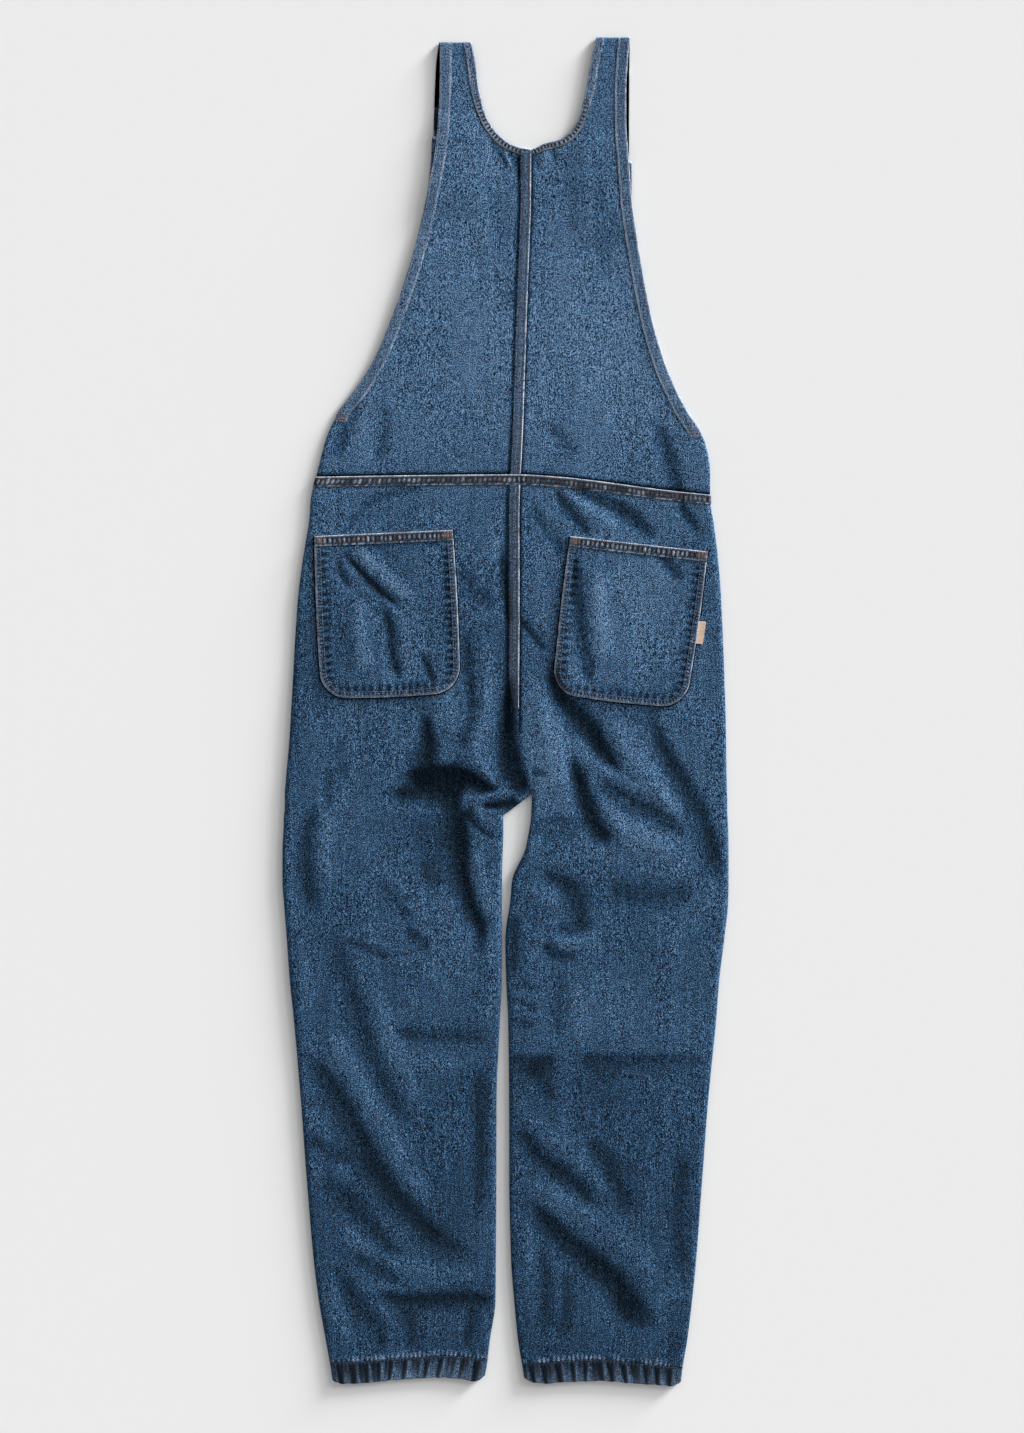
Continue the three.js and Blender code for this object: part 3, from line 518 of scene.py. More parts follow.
# Washing leaves the crests of folds pale. Their troughs are painted dark, partly as dye and partly as painted shade
# that deepens with depth.
DARKEST = 0.36
PALEST = 0.07
DARKENING = 0.125  # for each millimetre of depth
relief = folds_lift - 0.45 * blurred(folds_lift, 24)
wear_and_shade_by_folds = np.minimum(DARKEST * np.tanh(relief * DARKENING / DARKEST), PALEST)
fold_wear_and_shade = reader(wear_and_shade_by_folds + 0.03 * rumple_map(40, 90, 8) + 0.012 * rumple_map(14, 22, 9))
# The tone by level is partly the wash and partly painted light: paler over the body, darker towards the hems.
Wash = namedtuple("Wash", "y tone")
WASH_AND_PAINTED_LIGHT = [
    Wash(750, 0.04),
    Wash(640, 0.05),
    Wash(400, 0.08),
    Wash(262, 0.02),
    Wash(100, -0.05),
    Wash(-100, -0.06),
    Wash(-300, -0.075),
    Wash(-500, -0.11),
    Wash(-750, -0.135),
]
Patch = namedtuple("Patch", "x y wide high tone")
PATCHES = [
    Patch(145, 110, 55, 75, 0.17),  # the right pocket stood proud in the wash
    Patch(40, -60, 28, 70, 0.1),
    Patch(150, -120, 60, 60, 0.05),
    Patch(110, 400, 80, 120, 0.06),
    Patch(-110, 330, 60, 120, -0.03),
    # Painted shade of the deep folds round the crotch.
    Patch(-60, -80, 60, 45, -0.08),  # round the crotch
    Patch(-140, 220, 90, 40, -0.03),
    Patch(-10, 120, 45, 90, -0.04),
    Patch(80, -205, 70, 25, -0.04),
    Patch(130, -340, 80, 36, 0.05),
    Patch(120, -410, 100, 24, -0.04),
    Patch(-100, -560, 70, 60, -0.02),
]


def line(table, value, by="y"):
    """A smooth line without overshoot through one column of a table, read at places along another."""
    rows = sorted(table, key=lambda row: getattr(row, by))
    at = np.array([getattr(row, by) for row in rows], float)
    known = np.array([getattr(row, value) for row in rows], float)
    step = np.diff(at)
    rate = np.diff(known) / step
    before, after = np.append(rate[0], rate), np.append(rate, rate[-1])
    same_way = before * after > 0
    slope = np.where(same_way, 2 * before * after / np.where(same_way, before + after, 1), 0)

    def read(place):
        place = np.clip(place, at[0], at[-1])
        i = np.clip(np.searchsorted(at, place) - 1, 0, len(step) - 1)
        t = (place - at[i]) / step[i]
        rise = rate[i] * step[i]
        bend = (slope[i] * step[i] - rise) * (1 - t) + (rise - slope[i + 1] * step[i]) * t
        return known[i] + rise * t + bend * t * (1 - t)

    return read


waist = line(WAIST, "y", "x")
loft = line(LOFT, "rise")
wash_and_painted_light_by_level = line(WASH_AND_PAINTED_LIGHT, "tone")


def wash_and_painted_light(x, y):
    """How much paler or darker the denim is painted at each place: the laundry's fading, with painted light that falls
    off from the body towards the hems, and painted shade in patches such as round the crotch.
    """
    worn = sum(
        patch.tone * bell(x, patch.x, patch.wide) * bell(y, patch.y, patch.high) for patch in PATCHES
    )
    return wash_and_painted_light_by_level(y) + worn


leg_edge = {name: line(LEGS, name) for name in Section._fields[1:]}
hem_top = {side: line(HEMS[side], "top", "x") for side in HEMS}
hem_bottom = {side: line(HEMS[side], "bottom", "x") for side in HEMS}

# The bib's upper corners lie over the strap ends and their buttons, and lift the back above them.
Corner = namedtuple("Corner", "x y strap_end strap_inside button inwards")
CORNERS = {
    "left": Corner(-83, 640, 588, -44, (-64, 613), 1),
    "right": Corner(140, 612, 556, 100, (120, 582), -1),
}
BUTTON_THICK = 1.8
STRAP_LIFT = BUTTON_THICK + SEAM_GAP
BIB_LIFT = STRAP_LIFT + CLOTH + SEAM_GAP + 0.1
LOOSE = 0.6


def corner_share(corner, x, y):
    """How fully the bib rests on the strap at its corner: 1 over the strap, 0 away from it."""
    inwards = (x - corner.strap_inside) * corner.inwards
    by_level = plateau(y, (corner.strap_end - 64, corner.strap_end - 8), (corner.y + 5, corner.y + 50))
    return by_level * (1 - smoothstep(inwards, 6, 50))


def bib_height(x, y):
    return FLOOR_LAYER + BIB_LIFT * sum(corner_share(corner, x, y) for corner in CORNERS.values())


def back_height(x, y):
    """The middle of the back's wall, kept clear of the front under it."""
    free = loft(y) + fold_lift(x, y)
    least = bib_height(x, y) + CLOTH + SEAM_GAP + LOOSE
    return (free + least + np.sqrt((free - least) ** 2 + 0.25)) / 2


# A point of a panel's section. Columns from -1 to 0 are the rim at the left edge, 0 to 1 the panel and
# 1 to 2 the other rim. A rim that curls fully turns down to the seam with the front.
Layer = namedtuple("Layer", "height seam rounding thickness")
BACK = Layer(back_height, SEAM_HEIGHT + SEAM_GAP / 2, BACK_ROUND, CLOTH)


def section_x(u, left, right, curls, layer):
    rim = layer.rounding + layer.thickness / 2
    at_left = u < 0.5
    turn = np.clip(np.where(at_left, 1 + u, 2 - u), 0, 1)
    curled = layer.thickness / 2 + layer.rounding * (1 - np.cos(turn * math.pi / 2))
    inset = lerp(rim * turn, curled, np.sqrt(np.where(at_left, *curls)))
    on_rim = np.where(at_left, left + inset, right - inset)
    return np.where((u < 0) | (u > 1), on_rim, lerp(left + rim, right - rim, u))


def section_z(u, x, y, curls, layer):
    at_left = u < 0.5
    turn = np.clip(np.where(at_left, 1 + u, 2 - u), 0, 1)
    level = layer.height(x, y)
    curled = layer.seam + (level - layer.seam) * np.sin(turn * math.pi / 2)
    return lerp(level, curled, np.where(at_left, *curls))


def leg_surface(side, layer):
    """The middle surface of a leg panel, over columns u and rows v, which are levels before bending."""

    def span(y):
        edge = leg_edge[f"{side}_in"](y)
        if side == "left":
            return leg_edge["left_out"](y), edge - SEAM_GAP / 2
        return edge + SEAM_GAP / 2, leg_edge["right_out"](y)

    def curls(y):
        inseam = 1 - smoothstep(y, CROTCH - 6, CROTCH + 24)
        return (np.ones_like(y), inseam) if side == "left" else (inseam, np.ones_like(y))

    def bend(v, x):
        to_waist = (waist(x) - SEAM_GAP / 2 - WAIST_LEVEL) * smoothstep(v, 150, WAIST_LEVEL)
        to_hem = hem_top[side](x) + SEAM_GAP / 2 - HEM_LEVEL
        return v + to_waist + to_hem * (1 - smoothstep(v, HEM_LEVEL, HEM_LEVEL + 60))

    def surface(u, v):
        y = v
        for _ in range(3):
            y = bend(v, section_x(u, *span(y), curls(y), layer))
        x = section_x(u, *span(y), curls(y), layer)
        return np.stack([x, y, section_z(u, x, y, curls(y), layer)], -1)

    return surface


def outwards(surface, u, v):
    """The directions that a surface faces."""
    across = surface(u + 0.004, v) - surface(u - 0.004, v)
    up = surface(u, v + 0.8) - surface(u, v - 0.8)
    normal = np.cross(across, up)
    return normal / np.linalg.norm(normal, axis=-1, keepdims=True)


# What the denim's material reads at each point: its tone, which holds fading together with painted shade and light,
# the thick dyed seams and worn edges.
TRAITS = ("tone", "seam", "worn")


def lay(bm, surface, u, v, lift=None, shade=0.0, **traits):
    """Adds a sheet to a piece: a grid of cloth on a surface, moved out by its lift and shaded."""
    rows, columns = u.shape
    kept = bm.verts.layers.float
    layers = {name: kept.get(name) or kept.new(name) for name in TRAITS}
    made = bmesh.ops.create_grid(bm, x_segments=columns - 1, y_segments=rows - 1, size=0.5)["verts"]
    at = np.array([vert.co[:2] for vert in made])
    j = np.rint((at[:, 0] + 0.5) * (columns - 1)).astype(int)
    i = np.rint((at[:, 1] + 0.5) * (rows - 1)).astype(int)
    place = surface(u, v)
    if lift is not None:
        place = place + outwards(surface, u, v) * np.broadcast_to(lift, u.shape)[..., None]
    for vert, point in zip(made, place[i, j] * MM):
        vert.co = point
    # The tone holds the folds' wear and painted shade, the wash with its painted light, and the shade given here.
    traits["tone"] = fold_wear_and_shade(place[..., 0], place[..., 1]) + wash_and_painted_light(place[..., 0], place[..., 1]) + shade
    for name, values in traits.items():
        for vert, value in zip(made, np.broadcast_to(values, u.shape)[i, j]):
            vert[layers[name]] = value


def lay_reversed(bm, surface, u, v, lift, axis=1, **traits):
    """Lays a grid that runs the other way, turned so that its cloth faces outwards."""
    shape = u.shape
    turned = [np.flip(np.broadcast_to(each, shape), axis) for each in (u, v, lift)]
    traits = {name: np.flip(np.broadcast_to(values, shape), axis) for name, values in traits.items()}
    lay(bm, surface, *turned, **traits)


def new_mesh(name, bm):
    mesh = bpy.data.meshes.new(name)
    bm.to_mesh(mesh)
    bm.free()
    return mesh


def new_object(name, data):
    thing = bpy.data.objects.new(name, data)
    bpy.context.scene.collection.objects.link(thing)
    return thing


def new_piece(name, mesh, material, slot=None):
    """A smooth piece of the garment, of one material."""
    mesh.shade_smooth()
    mesh.materials.append(material)
    piece = new_object(name, mesh)
    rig.ride(piece, "root")
    if slot:
        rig.slot(piece, slot)
    return piece


def thickened(piece, thickness):
    """Gives a sheet its thickness, half to either side."""
    wall = piece.modifiers.new("thickness", "SOLIDIFY")
    wall.thickness = thickness * MM
    wall.offset = 0
    return piece


def new_cloth(name, bm, node, thickness=CLOTH):
    """A piece of denim from its sheets, in the place of a solid."""
    piece = thickened(new_piece(name, new_mesh(name, bm), denim, "denim"), thickness)
    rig.replaces(piece, node)
    return piece


def columns_of(count, rims=(6, 6), ends=(0.05, 0.05)):
    """Columns with finer rims. The first and last are narrow, so that a cut edge shades as a soft one."""
    left = np.append(-1, np.linspace(-1 + ends[0], 0, rims[0]))
    right = np.append(np.linspace(1, 2 - ends[1], rims[1]), 2)
    return np.concatenate([left, np.linspace(0, 1, count)[1:-1], right])


class Wire:
    """An output of a shader node. Arithmetic on it adds the Math nodes that work it out."""

    def __init__(self, tree, socket=None):
        self.tree = tree
        self.socket = socket

    def node(self, kind, settings=None, sockets=None, output=0):
        """A node of this type, with its settings and the values or wires of its sockets."""
        node = self.tree.nodes.new(f"ShaderNode{kind}")
        for name, value in (settings or {}).items():
            if name == "stops":
                set_stops(node.color_ramp, value)
            else:
                setattr(node, name, value)
        for name, value in (sockets or {}).items():
            socket = node.inputs[name] if isinstance(name, int) else next(
                each for each in node.inputs if name in (each.identifier, each.name)
            )
            if isinstance(value, Wire):
                self.tree.links.new(value.socket, socket)
            else:
                socket.default_value = value
        return Wire(self.tree, node.outputs[output] if node.outputs else None)

    def math(self, operation, *values):
        return self.node("Math", {"operation": operation}, dict(enumerate(values)))

    def __add__(self, other):
        return self.math("ADD", self, other)

    def __radd__(self, other):
        return self.math("ADD", other, self)

    def __sub__(self, other):
        return self.math("SUBTRACT", self, other)

    def __rsub__(self, other):
        return self.math("SUBTRACT", other, self)

    def __mul__(self, other):
        return self.math("MULTIPLY", self, other)

    def __rmul__(self, other):
        return self.math("MULTIPLY", other, self)

    def clamped(self):
        return self.node("Clamp", {}, {"Value": self})


def set_stops(ramp, stops):
    """Gives a colour ramp its stops, each a position and a colour."""
    while len(ramp.elements) < len(stops):
        ramp.elements.new(1)
    for element, (position, colour) in zip(ramp.elements, stops):
        element.position = position
        element.color = colour


def paint(red, green, blue):
    """A colour as painters mix it on a screen, from 0 to 255, in the renderer's own values."""
    shares = [value / 255 for value in (red, green, blue)]
    return (*[s / 12.92 if s <= 0.04045 else ((s + 0.055) / 1.055) ** 2.4 for s in shares], 1)


def new_material(name):
    material = bpy.data.materials.new(name)
    material.use_nodes = True
    material.node_tree.nodes.clear()
    return material, Wire(material.node_tree)


def finish_material(wire, sockets):
    shader = wire.node("BsdfPrincipled", {}, sockets)
    wire.node("OutputMaterial", {}, {"Surface": shader})


def mixed(wire, share, first, second, blend="MIX"):
    settings = {"data_type": "RGBA", "blend_type": blend, "clamp_factor": True}
    return wire.node("Mix", settings, {"Factor_Float": share, "A_Color": first, "B_Color": second}, 2)


# Ring-spun twill: white weft under indigo warp, so the face is mottled with short upright slubs.
DYE = [
    (0.0, paint(2, 11, 21)),
    (0.22, paint(27, 42, 55)),
    (0.42, paint(44, 71, 96)),
    (0.58, paint(55, 95, 132)),
    (0.76, paint(72, 121, 165)),
    (1.0, paint(128, 162, 194)),
]
SEAM_COLOUR = paint(92, 101, 116)
WORN_COLOUR = paint(220, 228, 238)
WARM = paint(178, 120, 118)  # a trace of reddish sulphur dye
# The grain of each unevenness, from its size across and along the threads in metres.
SLUB = (1 / 0.0007, 1 / 0.006, 1 / 0.0007)
GRAIN = (1 / 0.00072, 1 / 0.00125, 1 / 0.00072)
WARP = (1 / 0.0016, 1 / 0.06, 1 / 0.0016)
CLOUD = (1 / 0.006, 1 / 0.14, 1 / 0.006)
TINGE = (1 / 0.005, 1 / 0.009, 1 / 0.005)
TWILL_PITCH = 0.0011
TWILL_SLOPE = math.radians(28)
WAVE_REPEAT = math.pi / 10  # the length of one band of a wave texture whose scale is 1


def denim_material(name, turn=0.0):
    """Washed denim. Its threads run up the object, turned by an angle for a piece that is sewn on askew."""
    material, wire = new_material(name)
    place = wire.node("TexCoord", output=3)

    def mottle(scale, detail):
        mapping = {"Vector": place, "Scale": scale, "Rotation": (0, 0, turn)}
        stretched = wire.node("Mapping", {"vector_type": "POINT"}, mapping)
        return wire.node("TexNoise", {}, {"Vector": stretched, "Scale": 1.0, "Detail": detail})

    def trait(attribute):
        return wire.node("Attribute", {"attribute_name": attribute}, output=2)

    slub = mottle(SLUB, 2.0) - 0.5
    grain = mottle(GRAIN, 1.0) - 0.5
    cloud = mottle(CLOUD, 2.0) - 0.5
    warp = mottle(WARP, 1.0) - 0.5
    shown = (trait("tone") * 2.0 + 0.6).clamped() + 0.5  # faded cloth shows its white threads
    threads = (slub * 0.9 + grain * 3.0 + warp * 0.28) * shown
    depth = (threads + cloud * 0.13 + trait("tone") + 0.43).clamped()
    dyed = wire.node("ValToRGB", {"stops": DYE}, {"Fac": depth})
    tinge = (mottle(TINGE, 1.0) * 3.2 - 1.1).clamped()
    tinted = mixed(wire, tinge * 0.34, dyed, WARM, "SOFT_LIGHT")
    seamed = mixed(wire, (trait("seam") * (threads * 0.8 + 0.72)).clamped(), tinted, SEAM_COLOUR)
    colour = mixed(wire, (trait("worn") * (threads * 0.8 + 0.9)).clamped(), seamed, WORN_COLOUR)
    diagonal = {"Vector": place, "Rotation": (0, 0, turn + TWILL_SLOPE)}
    lines = wire.node("Mapping", {"vector_type": "POINT"}, diagonal)
    twill = wire.node(
        "TexWave",
        {"wave_type": "BANDS", "bands_direction": "X"},
        {"Vector": lines, "Scale": WAVE_REPEAT / TWILL_PITCH, "Distortion": 0.6, "Detail": 1.0},
        1,
    )
    weave = wire.node(
        "Bump", {}, {"Strength": 0.5, "Distance": 0.0005, "Height": twill * 0.35 + threads * 0.9}
    )
    sockets = {"Base Color": colour, "Roughness": 0.95, "Specular IOR Level": 0.03, "Normal": weave}
    finish_material(wire, sockets)
    return material


denim = denim_material("washed denim")

BACK_RIM = BACK_ROUND + CLOTH / 2
STITCH_PITCH = 3.4
PUCKER = 5.3  # from one small gather of a stitched seam to the next
FADED, BROWN, RUST = 0.0, 0.5, 1.0  # the hues of thread, with others between them
stitches = []


def column_at(inset, width):
    """The column of a flat panel that lies this far from its left edge."""
    return np.where(inset < BACK_RIM, inset / BACK_RIM - 1, (inset - BACK_RIM) / (width - 2 * BACK_RIM))


def wander(along, pitch, seed):
    """Uneven values from -1 to 1 that change slowly along a seam."""
    known = np.random.default_rng(seed).uniform(-1, 1, 400)
    return np.interp(np.asarray(along) / pitch + 150, np.arange(400), known)


def gathers(along, pitch, seed):
    """A wave of uneven pitch and height, as thread draws the cloth of a seam together."""
    wave = np.cos(2 * math.pi * (along / pitch + 0.3 * wander(along, 3.1 * pitch, seed)))
    return wave * (0.75 + 0.25 * wander(along, 2.3 * pitch, seed + 1))


def stitch_row(surface, u, v, lift, hue=BROWN):
    """Sews one row of stitches along a path of a surface, in thread of one hue."""
    place = surface(u, v)
    facing = outwards(surface, u, v)
    place = place + facing * lift
    run = np.append(0, np.cumsum(np.linalg.norm(np.diff(place, axis=0), axis=1)))
    middles = np.arange(STITCH_PITCH, run[-1] - STITCH_PITCH / 2, STITCH_PITCH)

    def at_run(places, values):
        return np.stack([np.interp(places, run, values[:, k]) for k in range(3)], -1)

    at = at_run(middles, place)
    stitches.append((at, at_run(middles + 1, place) - at, at_run(middles, facing), np.full(len(at), hue)))


# The legs' waist edges are felled to the body's, and the seat seam is felled to the left. A fell is a
# raised band of folded cloth with two rows of stitches, drawn into small gathers between them.
FELL_ROWS = (2.7, 8.8)
FELL_STEPS = 12
ON_FELL = FELL_RISE + CLOTH / 2
SUNK = 0.1  # where the thread is drawn in, or lies on cloth that is pushed up
BY_FELL = -0.34  # the shade of the cloth along a fell
WAIST_SEED = 31
SEAT_SEED = 41
CENTRE_SEED = 43
waist_along = np.linspace(-1, 2, 240)


def sewn_down(across, rows, width):
    """How near the cloth is to rows of stitches that press it down."""
    return sum(bell(across, row, width) for row in rows)


def fell_lift(across, along, seed, drawn=0.34):
    """Height of a felled band at a distance from its folded edge and along it."""
    between = plateau(across, (0.6, 3.4), (FELL - 3.6, FELL - 0.4))
    gathered = drawn * between * gathers(along, PUCKER, seed)
    return FELL_RISE + gathered - 0.2 * sewn_down(across, FELL_ROWS, 0.9)


def rope_traits(across, along, seed, strength=1.0):
    """A tightly drawn fell: pale beads on dark cloth, between a worn fold and a frayed lower edge."""
    band = plateau(across, (0.9, 1.9), (FELL - 2.2, FELL - 1.2))
    middle = FELL / 2 + 0.9 * wander(along, 3.3, seed + 9)
    oval = gathers(along, PUCKER, seed) + 0.35 - ((across - middle) / 3.6) ** 2
    bead = np.clip(1.1 * oval, 0, 1) * (0.75 + 0.45 * wander(along, 5, seed + 3))
    fold = bell(across, 0.3, 0.7) * (0.68 + 0.3 * wander(along, 9, seed + 5))
    frayed = bell(across, FELL - 0.8, 0.9) * np.clip(0.12 + 0.42 * wander(along, 1.7, seed + 7), 0, 1)
    return {
        "shade": band * (0.95 * bead - 0.66) * strength,
        "seam": band * (0.2 + 0.1 * bead),
        "worn": (0.5 + 0.5 * strength) * fold + frayed * strength + 0.3 * band * bead**2,
    }


def fell_traits(across, along, seed, worn=1.0):
    """A flat fell: a little greyed, faintly drawn between its stitches, with a worn folded edge."""
    band = plateau(across, (0.9, 1.9), (FELL - 1.6, FELL - 0.4))
    edge = bell(across, 0.2, 0.7) * (0.55 + 0.35 * wander(along, 9, seed + 5))
    streak = bell(across, 5.6, 1.5) * (0.5 + 0.5 * wander(along, 21, seed + 8))
    sewn = sewn_down(across, FELL_ROWS, 0.8)
    tone = band * (0.09 * gathers(along, 4.1, seed) - 0.07) + 0.12 * streak - 0.14 * sewn
    return {"shade": tone, "seam": 0.44 * band, "worn": worn * edge}


def lay_waist_fell(bm, surface):
    """The leg's half of the waist seam, tightly drawn."""
    across, u = np.meshgrid(np.linspace(0, FELL, FELL_STEPS), waist_along, indexing="ij")
    along = surface(u[0], np.full(u.shape[1], WAIST_LEVEL))[:, 0]
    traits = rope_traits(across, along, WAIST_SEED)
    lay_reversed(bm, surface, u, WAIST_LEVEL - across, fell_lift(across, along, WAIST_SEED), 0, **traits)
    for row in FELL_ROWS:
        stitch_row(surface, waist_along, np.full(waist_along.shape, WAIST_LEVEL - row), ON_FELL)


def lay_centre_fell(bm, surface, down, width, seed, worn, raised=1.0):
    """The felled centre seam along a left panel of this width. Where it isn't raised it sinks away."""
    v, across = np.meshgrid(down, np.linspace(FELL, 0, FELL_STEPS), indexing="ij")
    raised = np.broadcast_to(raised, down.shape)[:, None]
    lift = lerp(-0.5, 1, raised) * fell_lift(across, v, seed, 0.1)
    u = 1 - column_at(across * lerp(0.3, 1, raised), width[:, None])
    lay(bm, surface, u, v, lift, **fell_traits(across, v, seed, worn))
    sewn = down > SEAT_SEWN_FROM
    for row in FELL_ROWS:
        stitch_row(surface, 1 - column_at(row, width[sewn]), down[sewn], ON_FELL - SUNK)


def lay_hem_gathers(bm, surface, shift):
    """The leg's end, drawn in by the stitches of the hem under it. The shift makes each leg's differ."""
    rise, u = np.meshgrid(np.linspace(0, 16, 11), np.linspace(-0.9, 1.9, 200), indexing="ij")
    along = LEG_WIDE * u + shift
    drawn = 1 - smoothstep(rise, 1, 13 + 2.5 * wander(along, 9, 26))
    fine = gathers(along + 0.12 * rise, 4.7, 23) + 0.5 * wander(along, 6, 24)
    ticks = 0.2 * np.clip(fine, 0, 1) * bell(rise, 0, 4)
    lift = lerp(-0.35, 0.2, drawn) + 0.3 * fine * drawn
    lay(bm, surface, u, HEM_LEVEL + rise, lift, shade=0.4 * fine * drawn, worn=ticks)


def beside_fell(place, edge, side):
    """The strip of cloth close to the centre seam's fell, which is painted darker."""
    to_seam = np.abs(place[..., 0] - edge["left_in"](place[..., 1]))
    return bell(to_seam, FELL + 1.6 if side == "left" else 0.8, 2.0)


LEG_ROWS = np.concatenate([
    np.linspace(HEM_LEVEL, -126, 200),
    np.linspace(-124.5, -84, 28),
    np.linspace(-81.5, WAIST_LEVEL, 116),
])
LEG_COLUMNS = columns_of(82)
LEG_WIDE = 180
GATHER_SHIFT = {"left": 0, "right": 37}
SEAT_FELL_END = -22
SEAT_FELL_RAISED = 46
SEAT_SEWN_FROM = 51
leg_surfaces = {side: leg_surface(side, BACK) for side in SIDES}
back_legs = {}
for side, surface in leg_surfaces.items():
    bm = bmesh.new()
    u, v = np.meshgrid(LEG_COLUMNS, LEG_ROWS)
    by_fell = beside_fell(surface(u, v), leg_edge, side) * (v > SEAT_FELL_END)
    under_waist = bell(v, WAIST_LEVEL - FELL - 2.5, 3.0)
    lay(bm, surface, u, v, shade=BY_FELL * by_fell + 0.1 * under_waist)
    lay_waist_fell(bm, surface)
    if side == "left":
        down = np.linspace(SEAT_FELL_END, WAIST_LEVEL - FELL, 260)
        width = leg_edge["left_in"](down) - leg_edge["left_out"](down)
        raised = smoothstep(down, SEAT_FELL_END, SEAT_FELL_RAISED)
        lay_centre_fell(bm, surface, down, width, SEAT_SEED, 1.05, raised)
    lay_hem_gathers(bm, surface, GATHER_SHIFT[side])
    back_legs[side] = new_cloth(f"leg_back_{side}", bm, f"back_leg_{side}")

# The upper back: two panels joined by a felled centre seam, each cut in one with its strap. A double
# turned hem with two rows of stitches finishes the armholes and the neckline. The straps fold over at
# the shoulder and run down under the back, where their ends carry the buttons.
NECK_BASE = 625
BODY = [
    Section(236, -216.6, 15.8, 15.8, 227.7),
    Section(264, -210, 17, 17, 227.7),
    Section(280, -206, 18, 18, 226.4),
    Section(302, -200, 19, 19, 221),
    Section(314, -195.4, 19.5, 19.5, 215.3),
    Section(325, -190, 20, 20, 207.7),
    Section(336, -184, 20.3, 20.3, 200.7),
    Section(358, -167, 21, 21, 189.5),
    Section(391, -146.4, 22.2, 22.2, 176),
    Section(436, -127.5, 23.6, 23.6, 163.1),
    Section(480, -112, 25.2, 25.2, 154.2),
    Section(525, -98.6, 27, 27, 146.4),
    Section(570, -88.5, 28.4, 28.4, 140.2),
    Section(614, -80, 28.6, 28.6, 137),
    Section(NECK_BASE, -78.3, 28.6, 28.6, 136),
    Section(626.3, -78.1, 19, 32, 135.9),
    Section(628.5, -77.8, 12.5, 36, 135.7),
    Section(631.5, -77.4, 5, 43, 135.5),
    Section(636, -76.9, -2.4, 60, 135.2),
    Section(642, -76.3, -8.6, 70, 134.8),
    Section(659, -75, -20.4, 81, 134.2),
    Section(692, -73.3, -29.5, 89.6, 134.2),
    Section(725, -73, -34, 95.2, 136.2),
    Section(750, -73.6, -39.5, 101, 138.4),
]
UnderStrap = namedtuple("UnderStrap", "y out inside")
UNDER_STRAPS = {
    "left": [
        UnderStrap(750, -73.6, -39.5),
        UnderStrap(718, -77.4, -38.5),
        UnderStrap(670, -79.4, -40),
        UnderStrap(588, -81.8, -44),
    ],
    "right": [
        UnderStrap(750, 138.4, 101),
        UnderStrap(718, 138, 99.5),
        UnderStrap(650, 137.6, 99),
        UnderStrap(556, 137.6, 100),
    ],
}
STRAP_FOLD = {"left": 744.5, "right": 750}
STRAP_TOP = 4.4
STRAP_RADIUS = (STRAP_TOP - FLOOR_LAYER) / 2
ARMHOLE_FOOT = {"left": 325, "right": 314}
ARMHOLE_HEM = 13
ARMHOLE_LINES = 13
NECK_HEM = 9.5
NECK_LINES = 10
STITCHED_OVER = 3  # how far the stitches are shown past the start of the strap's fold
HEM_RISE = 0.55
HEM_STEP = 1.25  # from one row of a hem's mesh to the next
ON_HEM = HEM_RISE + CLOTH / 2
NECK_THREAD = 0.4
CROSS_THREAD = 0.85
CROSS_ROWS = (2, 4, 6, 8)  # of the mesh, at the armhole's foot
body_edge = {name: line(BODY, name) for name in Section._fields[1:]}


def body_span(side, y):
    gap = np.where(y < NECK_BASE + 0.5, SEAM_GAP / 2, 0)
    if side == "left":
        return body_edge["left_out"](y), body_edge["left_in"](y) - gap
    return body_edge["right_in"](y) + gap, body_edge["right_out"](y)


def fold_rows(side):
    """Where the strap's rows start to turn over, and where they have turned."""
    start = STRAP_FOLD[side] - STRAP_RADIUS - CLOTH / 2
    return start, start + math.pi * STRAP_RADIUS


def strap_end(side):
    """The row at the end of the strap, which is turned under and comes down again."""
    start, end = fold_rows(side)
    return end + start - CORNERS[side].strap_end


